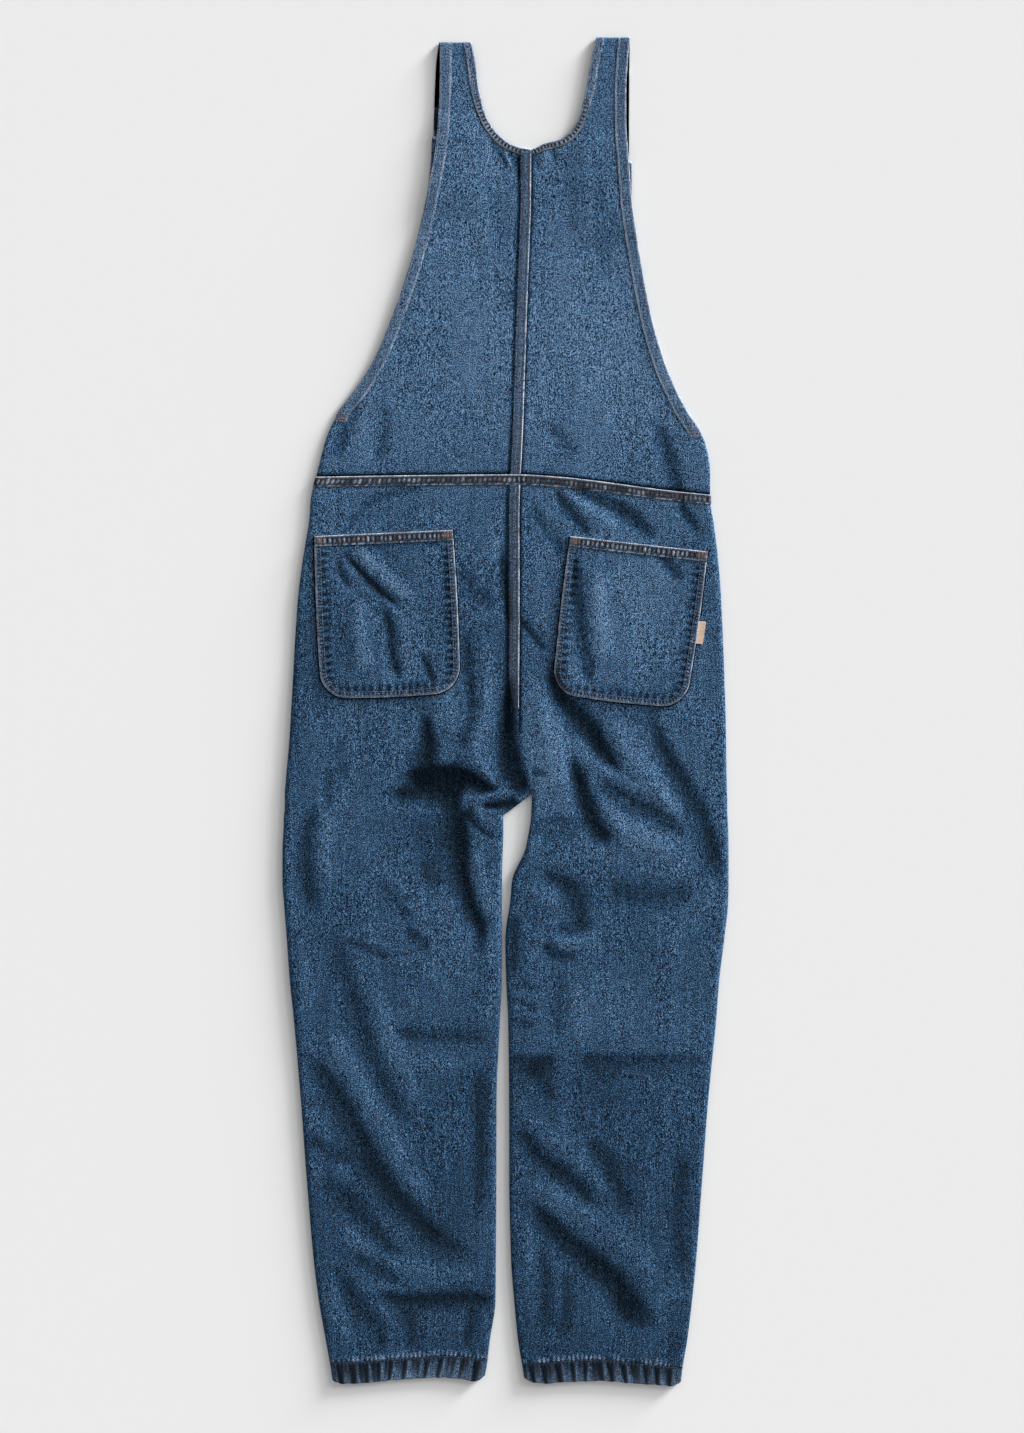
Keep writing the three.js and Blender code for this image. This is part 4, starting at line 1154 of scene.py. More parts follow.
def body_surface(side):
    """An upper back panel. Its rows count along the cloth: up to the fold, over it and down again."""
    start, end = fold_rows(side)
    foot = ARMHOLE_FOOT[side]
    out, inside = (line(UNDER_STRAPS[side], name) for name in ("out", "inside"))
    button_y = CORNERS[side].button[1]

    def curls(y):
        curl = lerp(1, 0.5, smoothstep(y, foot, foot + 24)) * (1 - smoothstep(y, 400, 480))
        return (curl, np.zeros_like(curl)) if side == "left" else (np.zeros_like(curl), curl)

    def bend(v, x):
        to_waist = waist(x) + SEAM_GAP / 2 - WAIST_LEVEL
        return v + to_waist * (1 - smoothstep(v, WAIST_LEVEL, WAIST_LEVEL + 80))

    def under_x(share, y):
        edges = (out(y), inside(y)) if side == "left" else (inside(y), out(y))
        return lerp(*edges, share)

    def surface(u, v):
        below = np.minimum(v, start)
        y = below
        for _ in range(3):
            y = bend(below, section_x(u, *body_span(side, y), curls(y), BACK))
        span = body_span(side, y)
        x = section_x(u, *span, curls(y), BACK)
        z = lerp(section_z(u, x, y, curls(y), BACK), STRAP_TOP, smoothstep(v, start - 24, start))
        share = (x - span[0]) / (span[1] - span[0])
        turn = np.clip((v - start) / STRAP_RADIUS, 0, math.pi)
        back_y = start - np.maximum(v - end, 0)
        lift = STRAP_LIFT * (1 - smoothstep(back_y, button_y + 16, button_y + 56))
        turned_x = lerp(x, under_x(share, back_y), turn / math.pi)
        turned_z = FLOOR_LAYER + STRAP_RADIUS * (1 + np.cos(turn)) + lift * (v > end)
        turned_y = back_y + STRAP_RADIUS * np.sin(turn)
        turned = (turned_x, turned_y, turned_z)
        return np.stack([np.where(v > start, *each) for each in zip(turned, (x, y, z))], -1)

    return surface


def hem_rows(width):
    """Where a hem's two rows of stitches lie, counted from the cloth's edge."""
    return 2.6, width - 2.4


def nearest_line(row, width, lines):
    """Which line of a hem's mesh lies nearest to a row of stitches."""
    return int(row / width * (lines - 1) + 0.5)


def hem_lift(across, along, width, seed, drawn=0.1, pitch=3.9):
    """Height of a turned hem at a distance from the cloth's edge and along it."""
    between = plateau(across, (0.8, 3.2), (width - 3, width - 0.8))
    sewn = sewn_down(across, hem_rows(width), 1.0)
    return HEM_RISE + drawn * between * gathers(along, pitch, seed) - 0.2 * sewn


def hem_traits(across, along, width, seed, worn=0.6, drawn=0.13, mottled=0.2, pitch=3.9, ridge=0.34):
    """A hem's slightly greyed cloth, with a worn outer edge and a pale ridge over its inner fold."""
    between = plateau(across, (1, 2.8), (width - 2.6, width - 0.8))
    edge = bell(across, 0, 0.9) * (0.75 + 0.5 * wander(along, 6, seed + 5))
    inner = ridge * bell(across, width - 1.4, 1.0) * (0.8 + 0.5 * wander(along, 11, seed + 6))
    mottle = mottled * wander(along + 3 * across, 1.7, seed + 8)
    tone = between * (0.07 + drawn * gathers(along, pitch, seed) + mottle)
    return {"shade": tone, "seam": 0.3 * between, "worn": worn * edge + inner}


def neck_path(side, length_after):
    """One panel's neckline from the centre seam up its strap: its run, places and ways into the cloth."""
    start, _ = fold_rows(side)
    y = NECK_BASE + (start - NECK_BASE) * np.linspace(0, 1, 500) ** 2.2
    x = body_edge[f"{side}_in"](y)
    x = np.append(x, np.full(60, x[-1]))
    y = np.append(y, start + np.linspace(0, length_after, 61)[1:])
    run = np.append(0, np.cumsum(np.hypot(np.diff(x), np.diff(y))))
    even = np.linspace(0, run[-1], int(run[-1] / HEM_STEP))
    x, y = np.interp(even, run, x), np.interp(even, run, y)
    slope = np.hypot(np.gradient(x), np.gradient(y))
    ahead_x, ahead_y = np.gradient(x) / slope, np.gradient(y) / slope
    turn = 1 if side == "left" else -1
    return even, x, y, -ahead_y * turn, ahead_x * turn


def lay_armhole_hem(bm, side, surface, seed):
    """The hem of an armhole, from its foot up the strap's outer edge and down again to its end."""
    start, end = fold_rows(side)
    foot, last = ARMHOLE_FOOT[side], strap_end(side)
    down = np.linspace(foot - 4, last, int((last - foot) / HEM_STEP))
    v, across = np.meshgrid(down, np.linspace(0, ARMHOLE_HEM, ARMHOLE_LINES), indexing="ij")
    flat_y = np.minimum(v, start)
    width = np.subtract(*body_span(side, flat_y)[::-1])
    outer = body_edge[f"{side}_out"]
    slant = np.hypot(1, (outer(flat_y + 2) - outer(flat_y - 2)) / 4)
    u = column_at(across * np.minimum(slant, 1.6), width)
    flattened = 1 - smoothstep(v, start, end - 1)  # pressed on the table by its own weight
    lift = hem_lift(across, v, ARMHOLE_HEM, seed) * smoothstep(v, foot - 4, foot + 8) * flattened
    traits = hem_traits(across, v, ARMHOLE_HEM, seed)
    traits["shade"] = traits["shade"] - TUCKED * smoothstep(v, start, end)
    if side == "left":
        lay(bm, surface, u, v, lift, **traits)
    else:
        u = 1 - u
        lay_reversed(bm, surface, u, v, lift, **traits)
    shown = down < start + STITCHED_OVER
    for row in hem_rows(ARMHOLE_HEM):
        k = nearest_line(row, ARMHOLE_HEM, ARMHOLE_LINES)
        stitch_row(surface, u[shown, k], down[shown], ON_HEM, FADED)
    for k in CROSS_ROWS:
        stitch_row(surface, u[k, 1:-1], v[k, 1:-1], ON_HEM + SUNK, CROSS_THREAD)


def lay_neck_hem(bm, side, surface, seed):
    """The hem of the neckline, drawn in and frayed at its bottom, and the strap's inner edge."""
    start, end = fold_rows(side)
    run, x, y, in_x, in_y = (each[:, None] for each in neck_path(side, strap_end(side) - start))
    across = np.linspace(0, NECK_HEM, NECK_LINES)[None]
    low = 1 - smoothstep(run, 50, 110)
    reach = across * lerp(1, 0.82, low) - 0.7 * low * wander(run, 2.3, seed - 60) * (1 - across / NECK_HEM)
    strip_x, v = x + in_x * reach, y + in_y * reach
    span = body_span(side, np.minimum(v, start))
    strip_x = np.clip(strip_x, span[0] + 0.02, span[1] - 0.02)
    from_right = span[1] - strip_x
    u = column_at(strip_x - span[0], span[1] - span[0])
    u = np.where(from_right < BACK_RIM, 2 - from_right / BACK_RIM, u)
    along, across = (np.broadcast_to(each, u.shape) for each in (run, across))
    lift = hem_lift(across, along, NECK_HEM, seed) * (1 - smoothstep(v, start, end - 1))
    traits = hem_traits(across, along, NECK_HEM, seed)
    beads = np.clip(gathers(along, 4.3, seed + 6) + 0.1, 0, 1) * plateau(across, (1.4, 3), (6.5, 8.5))
    traits["shade"] = traits["shade"] + low * (0.95 * beads - 0.62 * smoothstep(across, 1, 2.2))
    traits["worn"] = traits["worn"] * lerp(1, 1.1, low) + 0.26 * low * beads
    traits["seam"] = traits["seam"] * lerp(1, 0.5, low)
    lay_way = lay_reversed if side == "left" else lay
    lay_way(bm, surface, u, v, lift, **traits)
    for row in hem_rows(NECK_HEM):
        k = nearest_line(row, NECK_HEM, NECK_LINES)
        shown = v[:, k] < start + STITCHED_OVER
        stitch_row(surface, u[shown, k], v[shown, k], ON_HEM - SUNK, NECK_THREAD)


TUCKED = 0.3  # how much darker the strap's turned-under part is painted
CENTRE_FELL_END = NECK_BASE - 2.5
ARMHOLE_SEED = {"left": 51, "right": 57}
body_surfaces = {side: body_surface(side) for side in SIDES}
upper_backs = {}
for side, surface in body_surfaces.items():
    start, end = fold_rows(side)
    bm = bmesh.new()
    rows = np.concatenate([
        np.linspace(WAIST_LEVEL, 590, 130)[:-1],
        np.linspace(590, NECK_BASE, 24)[:-1],
        NECK_BASE + (640 - NECK_BASE) * np.linspace(0, 1, 18)[:-1] ** 1.6,
        np.linspace(640, start, 42)[:-1],
        np.linspace(start, end, 10),
        np.linspace(end, strap_end(side), 50)[1:],
    ])
    u, v = np.meshgrid(columns_of(62), rows)
    by_fell = beside_fell(surface(u, v), body_edge, side) * (v < NECK_BASE - 6)
    # Painted shadow: a dark line on the body just above the waist fell's raised edge.
    shadow_above_waist = bell(v, WAIST_LEVEL, 2.6)
    tucked = TUCKED * smoothstep(v, start, end)
    lay(bm, surface, u, v, shade=BY_FELL * by_fell - 0.5 * shadow_above_waist - tucked)
    lay_armhole_hem(bm, side, surface, ARMHOLE_SEED[side])
    lay_neck_hem(bm, side, surface, ARMHOLE_SEED[side] + 60)
    if side == "left":
        down = np.linspace(WAIST_LEVEL, CENTRE_FELL_END, 284)
        lay_centre_fell(bm, surface, down, np.subtract(*body_span(side, down)[::-1]), CENTRE_SEED, 1.1)
    upper_backs[side] = new_cloth(f"upper_back_{side}", bm, f"back_body_{side}")

# The front: the bib above the waist and the two front legs, of the same denim. They lie flat on the
# table under the back, curl up to it at the side seams and inseams, and show only at their edges.
BibInset = namedtuple("BibInset", "y left right")
BIB_INSET = [
    BibInset(236, 0, 0),
    BibInset(314, 0, 0),
    BibInset(345, 1.5, 1.5),
    BibInset(545, 2, 1.5),
    BibInset(590, -1, -2),
    BibInset(640, -6, -4.5),
]
FRONT_SEAM = SEAM_HEIGHT - SEAM_GAP / 2
BIB_RIM = 2.8
BIB_WIDE = 250
Crease = namedtuple("Crease", "height wide path")
CREASES = [
    Crease(0.6, 12, [(-120, -70), (-70, -84), (-14, -98)]),
    Crease(0.5, 13, [(-50, -100), (-60, -160), (-44, -220)]),
    Crease(0.5, 14, [(-200, -60), (-190, -130), (-200, -210)]),
    Crease(0.6, 13, [(44, -40), (84, -84), (140, -116)]),
    Crease(0.5, 12, [(60, -110), (80, -150), (82, -214)]),
    Crease(0.5, 15, [(170, 20), (190, -60), (214, -150)]),
    Crease(0.5, 12, [(-200, -380), (-120, -392), (-30, -384)]),
    Crease(0.6, 10, [(20, -386), (110, -392), (200, -384)]),
    Crease(0.4, 14, [(-160, -470), (-110, -520), (-60, -600)]),
    Crease(0.5, 13, [(40, -560), (90, -600), (150, -650)]),
    Crease(0.5, 12, [(-120, 330), (-40, 316), (60, 330)]),
    Crease(0.4, 15, [(-60, 560), (0, 470), (-20, 380)]),
    Crease(0.5, 13, [(110, 540), (90, 470), (104, 400)]),
    Crease(0.4, 14, [(-150, 220), (-110, 140), (-120, 60)]),
    Crease(0.4, 14, [(120, 220), (90, 150), (110, 80)]),
]
CREASE_END = 0.6  # an end's width, as a share of the middle's


def as_fold(crease):
    widths = (CREASE_END * crease.wide, crease.wide, CREASE_END * crease.wide)
    return Fold(crease.height, 0, [(*place, width) for place, width in zip(crease.path, widths)])


front_lift = reader(fold_map([as_fold(crease) for crease in CREASES]))


def front_height(x, y):
    """The middle of the front's wall: its folds rise from the table a little, under the back."""
    return bib_height(x, y) + front_lift(x, y)


FRONT = Layer(front_height, FRONT_SEAM, FRONT_SEAM - FLOOR_LAYER, CLOTH)


def bib_surface():
    inset = {side: line(BIB_INSET, side) for side in SIDES}
    left, right = CORNERS["left"], CORNERS["right"]

    def span(y):
        return body_edge["left_out"](y) + inset["left"](y), body_edge["right_out"](y) - inset["right"](y)

    def curls(y):
        return tuple(1 - smoothstep(y, ARMHOLE_FOOT[side] - 8, ARMHOLE_FOOT[side] + 12) for side in SIDES)

    def surface(u, v):
        y = v
        for _ in range(3):
            x = section_x(u, *span(y), curls(y), FRONT)
            top = lerp(left.y, right.y, (x - left.x) / (right.x - left.x))
            y = lerp(waist(x) + SEAM_GAP / 2, top, v)
        x = section_x(u, *span(y), curls(y), FRONT)
        return np.stack([x, y, section_z(u, x, y, curls(y), FRONT)], -1)

    return surface


def front_shade(surface, u, v):
    """The tone of the front follows its own folds, and takes out again the back's fold wear and painted shade."""
    place = surface(u, v)
    x, y = place[..., 0], place[..., 1]
    return -fold_wear_and_shade(x, y) - 0.25 * front_lift(x, y)


bm = bmesh.new()
surface = bib_surface()
u, v = np.meshgrid(columns_of(86, rims=(10, 10)), np.linspace(0, 1, 100))
from_edge = np.minimum(u + 1, 2 - u) * (FRONT_SEAM - FLOOR_LAYER + CLOTH / 2)
wide = np.where(from_edge < BIB_RIM, from_edge, BIB_RIM + np.clip(np.minimum(u, 1 - u), 0, 1) * BIB_WIDE)
above_foot = smoothstep(v, 0.16, 0.2)
hemmed = (1 - smoothstep(wide, ARMHOLE_HEM - 1, ARMHOLE_HEM)) * above_foot
top_hem = smoothstep(v, 0.955, 0.965)
worn_edge = bell(from_edge, 0, 0.5) * above_foot + bell(v, 1, 0.003)
lay(bm, surface, u, v, shade=front_shade(surface, u, v) - 0.05 * hemmed,
    seam=0.4 * np.maximum(hemmed, top_hem), worn=0.8 * worn_edge)
bib = new_cloth("bib_front", bm, "bib")

FRONT_ROWS = np.concatenate([
    np.linspace(HEM_LEVEL, -126, 90),
    np.linspace(-124.5, -84, 24),
    np.linspace(-80, WAIST_LEVEL, 60),
])
front_legs = {}
for side in SIDES:
    surface = leg_surface(side, FRONT)
    bm = bmesh.new()
    u, v = np.meshgrid(columns_of(40), FRONT_ROWS)
    lay(bm, surface, u, v, shade=front_shade(surface, u, v))
    front_legs[side] = new_cloth(f"leg_front_{side}", bm, f"front_leg_{side}")


def cut_of(surface, across, along):
    """The size a piece was cut to, without what is turned in: its width, length and area in metres."""
    u, v = np.meshgrid(np.linspace(*across, 90), np.linspace(*along, 320))
    place = surface(u, v) * MM
    ahead, aside = np.diff(place, axis=0)[:, :-1], np.diff(place, axis=1)[:-1]
    area = np.linalg.norm(np.cross(ahead, aside), axis=-1).sum()
    width = np.linalg.norm(aside, axis=-1).sum(1).max()
    length = np.linalg.norm(ahead, axis=-1).sum(0).max()
    return {"flat": (width, length), "area": min(area, width * length)}


# The back lies on the front, so the cuts of both are given here.
WHOLE = (-1, 2)  # the columns of a panel with the rims at both its edges
LEG_CUT = (WHOLE, (HEM_LEVEL, WAIST_LEVEL))
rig.sheet(bib, held="laid", rests_on=["table"], **cut_of(bib_surface(), WHOLE, (0, 1)))
for side in SIDES:
    front_cut = cut_of(leg_surface(side, FRONT), *LEG_CUT)
    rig.sheet(front_legs[side], held="laid", rests_on=["table"], **front_cut)
    back_cut = cut_of(leg_surfaces[side], *LEG_CUT)
    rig.sheet(back_legs[side], held="laid", rests_on=[front_legs[side]], **back_cut)
    upper_cut = cut_of(body_surfaces[side], WHOLE, (WAIST_LEVEL, strap_end(side)))
    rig.sheet(upper_backs[side], held="laid", rests_on=[bib], **upper_cut)

# Turned hems at the ankles: the cloth is folded in twice and held by two close rows of stitches, which
# draw it into uneven gathers. Each hem has a back and a front half.
HEM_WALL = 2
HEM_GATHER = 14.5
HEM_CORNER = 5  # how far a hem's lower edge rises at its side seam
HEM_ROUND = 11  # and how far from the seam it starts to rise
HEM_DEEP = 24
HEM_LONG = 175
HEM_SEED = {"left": 71, "right": 79}
FRONT_HEM_SEED = 83
ANKLE_ROWS = (0.03, 0.065)  # shares of the hem's depth
ANKLE_THREAD = 0.8
ON_ANKLE = HEM_WALL / 2 + 0.4
HEM_BACK = Layer(back_height, SEAM_HEIGHT + SEAM_GAP / 2, BACK_ROUND, HEM_WALL)


def hem_surface(side, layer):
    edges = ("left_out", "left_in") if side == "left" else ("right_in", "right_out")

    def span(y):
        return tuple(leg_edge[edge](y) for edge in edges)

    def surface(u, v):
        both = (np.ones_like(u), np.ones_like(u))
        y = lerp(HEM_LEVEL, HEM_LEVEL - HEM_DEEP, v)
        for _ in range(3):
            left, right = span(y)
            x = section_x(u, left, right, both, layer)
            by_side = 1 - np.minimum(np.minimum(x - left, right - x) / HEM_ROUND, 1)
            y = lerp(hem_top[side](x) - SEAM_GAP / 2, hem_bottom[side](x) + HEM_CORNER * by_side**2, v)
        x = section_x(u, *span(y), both, layer)
        return np.stack([x, y, section_z(u, x, y, both, layer)], -1)

    return surface


hems = {}
for side, seed in HEM_SEED.items():
    surface = hem_surface(side, HEM_BACK)
    bm = bmesh.new()
    u, v = np.meshgrid(columns_of(190, rims=(7, 7)), np.linspace(1, 0, 24))
    along = HEM_LONG * u
    on_top = plateau(u, (-0.3, 0.05), (0.95, 1.3))
    deep = smoothstep(v, 0.03, 0.12) * on_top
    slanted = along + 5 * v * wander(along, 23, seed + 9)
    waves = 0.7 * gathers(slanted, HEM_GATHER, seed) + 0.42 * gathers(slanted, 0.57 * HEM_GATHER, seed + 2)
    ridge = smoothstep(waves + 0.75 * v + 0.2 + 0.4 * wander(along, 29, seed + 4), -0.25, 1.3)
    small = gathers(along, 4.6, seed + 3) * (1 - smoothstep(v, 0.1, 0.4)) * on_top
    lift = 1.3 * (ridge - 0.5) * deep * (1 - 0.4 * smoothstep(v, 0.8, 1)) + 0.2 * small
    traits = {
        "shade": 0.54 * (ridge - 0.74) * deep + 0.16 * small - 0.3 * bell(v, 0.045, 0.026),
        "seam": 0.08 + 0.18 * ridge,
        "worn": 0.04 * ridge * v,
    }
    lay(bm, surface, u, v * (1 + 0.03 * wander(along, 6, seed + 6)), lift, **traits)
    hems[side] = new_cloth(f"hem_back_{side}_gathered", bm, f"hem_back_{side}", HEM_WALL)
    row = np.linspace(-0.7, 1.7, 220)
    for each in ANKLE_ROWS:
        stitch_row(surface, row, np.full(row.shape, each), ON_ANKLE, ANKLE_THREAD)


def hem_on_table(x, y):
    return np.full(np.shape(x), HEM_WALL / 2)


HEM_FRONT = Layer(hem_on_table, FRONT_SEAM, FRONT_SEAM - HEM_WALL / 2, HEM_WALL)
front_hems = {}
for side in SIDES:
    surface = hem_surface(side, HEM_FRONT)
    bm = bmesh.new()
    u, v = np.meshgrid(columns_of(60), np.linspace(1, 0, 10))
    on_top = plateau(u, (-0.1, 0.05), (0.95, 1.1))
    wave = 0.2 * on_top * gathers(HEM_LONG * u, HEM_GATHER, FRONT_HEM_SEED) * smoothstep(v, 0.02, 0.3)
    lay(bm, surface, u, v, np.minimum(-wave, 0), shade=0.2 * wave, seam=0.05 + 0.1 * v)
    front_hems[side] = new_cloth(f"hem_front_{side}_turned", bm, f"hem_front_{side}", HEM_WALL)
    folded_up = cut_of(hem_surface(side, HEM_BACK), WHOLE, (0, 1))
    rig.sheet(front_hems[side], held="folded", rests_on=["table"], **folded_up)
    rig.sheet(hems[side], held="folded", rests_on=[front_hems[side]], **folded_up)

# Patch pockets of one cut on the seat. Their upper edge is a stitched turned hem, and their sides and
# round lower corners are sewn down with two rows of stitches, with a bartack at each upper corner.
POCKET_WIDTH = 154
POCKET_HEIGHT = 180
POCKET_BELLY = 1.5
POCKET_SAG = 2.5
POCKET_CORNER = 28
POCKET_HEM = 12
POCKET_BORDER = 8.4
BORDER_LINES = 10
BORDER_ROWS = (1.9, 6.9)
SEWN_ON = SEAM_GAP + 0.25
Placed = namedtuple("Placed", "x y tilt short narrow")  # the cloth under the right one is drawn in
POCKETS = {"left": Placed(-212.5, 194.8, 2.6, 0, 0), "right": Placed(71.8, 194.8, -6.4, 5, 5.5)}
POCKET_FOLDS = [
    Fold(-1, 0.2, [(-187, 183, 2.5), (-160, 154, 4), (-138, 132, 5), (-114, 114, 3)]),
    Fold(-0.8, 0, [(-187, 170, 3), (-181, 152, 4.5), (-172, 136, 3)]),
    Fold(0.8, 0, [(-176, 192, 5), (-136, 152, 10), (-98, 120, 6)]),
    Fold(-1.1, 0, [(-138, 124, 4), (-128, 92, 7), (-124, 58, 7), (-115, 30, 4)]),
    Fold(-0.8, 0, [(-94, 68, 3), (-86, 48, 5), (-77, 28, 4)]),
    Fold(0.7, 0, [(-160, 132, 7), (-162, 84, 11), (-152, 38, 8)]),
    Fold(-0.9, 0.1, [(76, 188, 5), (79, 142, 8), (83, 96, 9), (90, 50, 9), (97, 22, 6)]),
    Fold(0.9, 0, [(104, 162, 8), (106, 104, 12), (110, 52, 9)]),
    Fold(-0.8, 0, [(160, 188, 4), (178, 166, 8), (200, 144, 6)]),
]
pocket_map = fold_map(POCKET_FOLDS)
pocket_lift = reader(pocket_map)
# The pockets' own folds: crests paled by wear, troughs painted dark, partly as painted shade.
pocket_wear_and_shade = reader(0.35 * (pocket_map - blurred(pocket_map, 14)))


def on_pocket(side, across, level):
    """A place on the garment, from its place on a pocket: across and up from its upper left corner."""
    placed = POCKETS[side]
    turn = math.radians(placed.tilt)
    low = -level / POCKET_HEIGHT
    across = across - placed.narrow * low * across / POCKET_WIDTH
    level = level + placed.short * low
    x = placed.x + across * math.cos(turn) - level * math.sin(turn)
    y = placed.y + across * math.sin(turn) + level * math.cos(turn)
    z = back_height(x, y) + pocket_lift(x, y) + CLOTH + SEWN_ON
    return np.stack([x, y, z], -1)


def pocket_inset(down):
    """How far the pocket's sides lie inside its width at a level."""
    low = np.clip(down - (POCKET_HEIGHT - POCKET_CORNER), 0, POCKET_CORNER)
    bow = POCKET_BELLY * np.sin(np.clip(down / POCKET_HEIGHT, 0, 1) * math.pi)
    return POCKET_CORNER - np.sqrt(POCKET_CORNER**2 - low**2) - bow


def sagging(across, down):
    """The lower edge bows down between the corners."""
    bow = np.sin(np.clip(across / POCKET_WIDTH, 0, 1) * math.pi)
    return down + POCKET_SAG * bow * (down / POCKET_HEIGHT) ** 2


def corner_levels(count):
    """Levels from where a lower corner starts to bend down to the lower edge."""
    return POCKET_HEIGHT - POCKET_CORNER * (1 - np.sin(np.linspace(0, 1, count) * math.pi / 2))


def border_path():
    """The pocket's outline from its upper left corner round the bottom to its upper right one."""
    side_down = corner_levels(120)
    down = np.concatenate([np.linspace(0, side_down[0], 60)[:-1], side_down])
    inset = pocket_inset(down)
    bottom = np.linspace(inset[-1], POCKET_WIDTH - inset[-1], 80)[1:-1]
    across = np.concatenate([inset, bottom, POCKET_WIDTH - inset[::-1]])
    down = np.concatenate([down, np.full(bottom.shape, POCKET_HEIGHT), down[::-1]])
    down = sagging(across, down)
    run = np.append(0, np.cumsum(np.hypot(np.diff(across), np.diff(down))))
    even = np.linspace(0, run[-1], int(run[-1] / 1.1))
    across, down = np.interp(even, run, across), np.interp(even, run, down)
    slope = np.hypot(np.gradient(across), np.gradient(down))
    return even, across, down, np.gradient(down) / slope, -np.gradient(across) / slope


def border_puckers(across, down, seed):
    """Where the cloth inside the border is drawn in by its stitches, and the puckers there."""
    inset = pocket_inset(np.minimum(down, POCKET_HEIGHT))
    to_side = np.minimum(across - inset, POCKET_WIDTH - inset - across)
    to_edge = np.minimum(to_side, POCKET_HEIGHT + POCKET_SAG - down)
    run_by = np.where(to_side < POCKET_HEIGHT - down, down, across)
    share = plateau(to_edge, (3, 6.5), (10, 19)) * smoothstep(down, 14, 24)
    return share, share * np.clip(gathers(run_by, 8.7, seed + 8), -0.7, 1)


def beside_border(path, reaches):
    """A strip along the border, from one reach inwards to another: its run, places and reaches."""
    run, edge_across, edge_down, in_across, in_down = (each[:, None] for each in path)
    inwards = np.broadcast_to(reaches, (len(run), len(reaches)))
    across, down = edge_across + in_across * inwards, edge_down + in_down * inwards
    return np.broadcast_to(run, across.shape), across, down, inwards


def soft_ends(narrow, count):
    """Even shares from 0 to 1 with a narrow first and last, so that a cut edge shades as a soft one."""
    return np.concatenate([[0], np.linspace(narrow, 1 - narrow, count), [1]])


def lay_pocket_border(bm, surface, seed):
    """The border that is sewn down, over the edge that is turned under, painted dark both as unwashed cloth and as the
    pocket's shadow on the leg.
    """
    path = border_path()
    _, across, down, _ = beside_border(path, np.linspace(-1.3, 1.5, 4))
    # The turned-under strip: its dark colour is partly unwashed cloth and partly painted shadow round the pocket.
    lay_reversed(bm, surface, across, -down, -0.5, shade=-0.6)
    along, across, down, inwards = beside_border(path, np.linspace(0, POCKET_BORDER, BORDER_LINES))
    lift = hem_lift(inwards, along, POCKET_BORDER, seed, 0.22, 4.4)
    lift = lerp(lift, -0.2, smoothstep(inwards, POCKET_BORDER - 1.6, POCKET_BORDER))
    traits = hem_traits(inwards, along, POCKET_BORDER, seed, 0.62, 0.26, 0.1, 4.4, 0)
    share, drawn = border_puckers(across, down, seed)
    traits["shade"] = traits["shade"] + 0.2 * drawn - 0.13 * share - 0.1
    traits["seam"] = 0.16 * plateau(inwards, (1, 2), (6, POCKET_BORDER))
    lay_reversed(bm, surface, across, -down, lift, **traits)
    for row in BORDER_ROWS:
        k = nearest_line(row, POCKET_BORDER, BORDER_LINES)
        stitch_row(surface, across[:, k], -down[:, k], ON_HEM, BORDER_THREAD)


def lay_pocket_hem(bm, surface, seed):
    """The pocket's turned upper edge, with a bartack at each of its corners."""
    share, down = np.meshgrid(np.linspace(0, 1, 130), np.linspace(POCKET_HEM, 0, 12))
    across = lerp(pocket_inset(down), POCKET_WIDTH - pocket_inset(down), share)
    by_corner = 1 - smoothstep(np.minimum(share, 1 - share), 0.04, 0.09)
    traits = rope_traits(down, across, seed, 0.8)
    traits["seam"] = np.maximum(traits["seam"], 0.7 * by_corner)
    lay(bm, surface, across, -down, fell_lift(down, across, seed) + 0.1, **traits)
    for row in FELL_ROWS:
        u = np.linspace(4, POCKET_WIDTH - 4, 120)
        stitch_row(surface, u, np.full(u.shape, -row), ON_FELL + SUNK)
    for middle in (BARTACK_INSET, POCKET_WIDTH - BARTACK_INSET):
        for k in np.linspace(-0.5, 0.5, 5):
            u = np.linspace(middle - BARTACK_WIDE / 2, middle + BARTACK_WIDE / 2, 12)
            level = -BARTACK_LEVEL + k * BARTACK_HIGH
            stitch_row(surface, u, np.full(u.shape, level), ON_BARTACK, RUST)


BARTACK_WIDE = 12
BARTACK_HIGH = 6
BARTACK_LEVEL = 4.6
BARTACK_INSET = 6.5
ON_BARTACK = ON_HEM + 0.35
BORDER_THREAD = 0.24
POCKET_SEED = {"left": 91, "right": 97}
pocket_denims = {
    side: denim_material(f"washed denim {side} pocket", -math.radians(placed.tilt))
    for side, placed in POCKETS.items()
}
pockets = {}
for side, seed in POCKET_SEED.items():

    def surface(u, v, side=side):
        return on_pocket(side, u, v)

    bm = bmesh.new()
    levels = corner_levels(20)
    rows = np.append(np.linspace(0, levels[0], 84)[:-1], levels)[::-1]
    share, down = np.meshgrid(soft_ends(0.004, 84), rows)
    inset = pocket_inset(down)
    across = lerp(inset, POCKET_WIDTH - inset, share)
    down = sagging(across, down)
    place = surface(across, -down)
    # The crease tone: wear on the crests and painted shade in the troughs.
    crease = pocket_wear_and_shade(place[..., 0], place[..., 1])
    share, drawn = border_puckers(across, down, seed)
    lay(bm, surface, across, -down, 0.45 * drawn, shade=crease + 0.2 * drawn - 0.13 * share)
    lay_pocket_border(bm, surface, seed)
    lay_pocket_hem(bm, surface, seed + 2)
    pockets[side] = new_cloth(f"patch_pocket_{side}", bm, f"pocket_{side}")
    pockets[side].data.materials[0] = pocket_denims[side]

# A plain tab of ribbed beige cotton tape. It is folded in two, and caught in the outer seam of the
# right pocket as the pocket is sewn on.
TAB_WIDTH = 9
TAB_LENGTH = 26
TAB_THICK = 1
TAB_BELOW = 80
TAPE = paint(205, 178, 158)
TAPE_SHADE = paint(150, 118, 100)


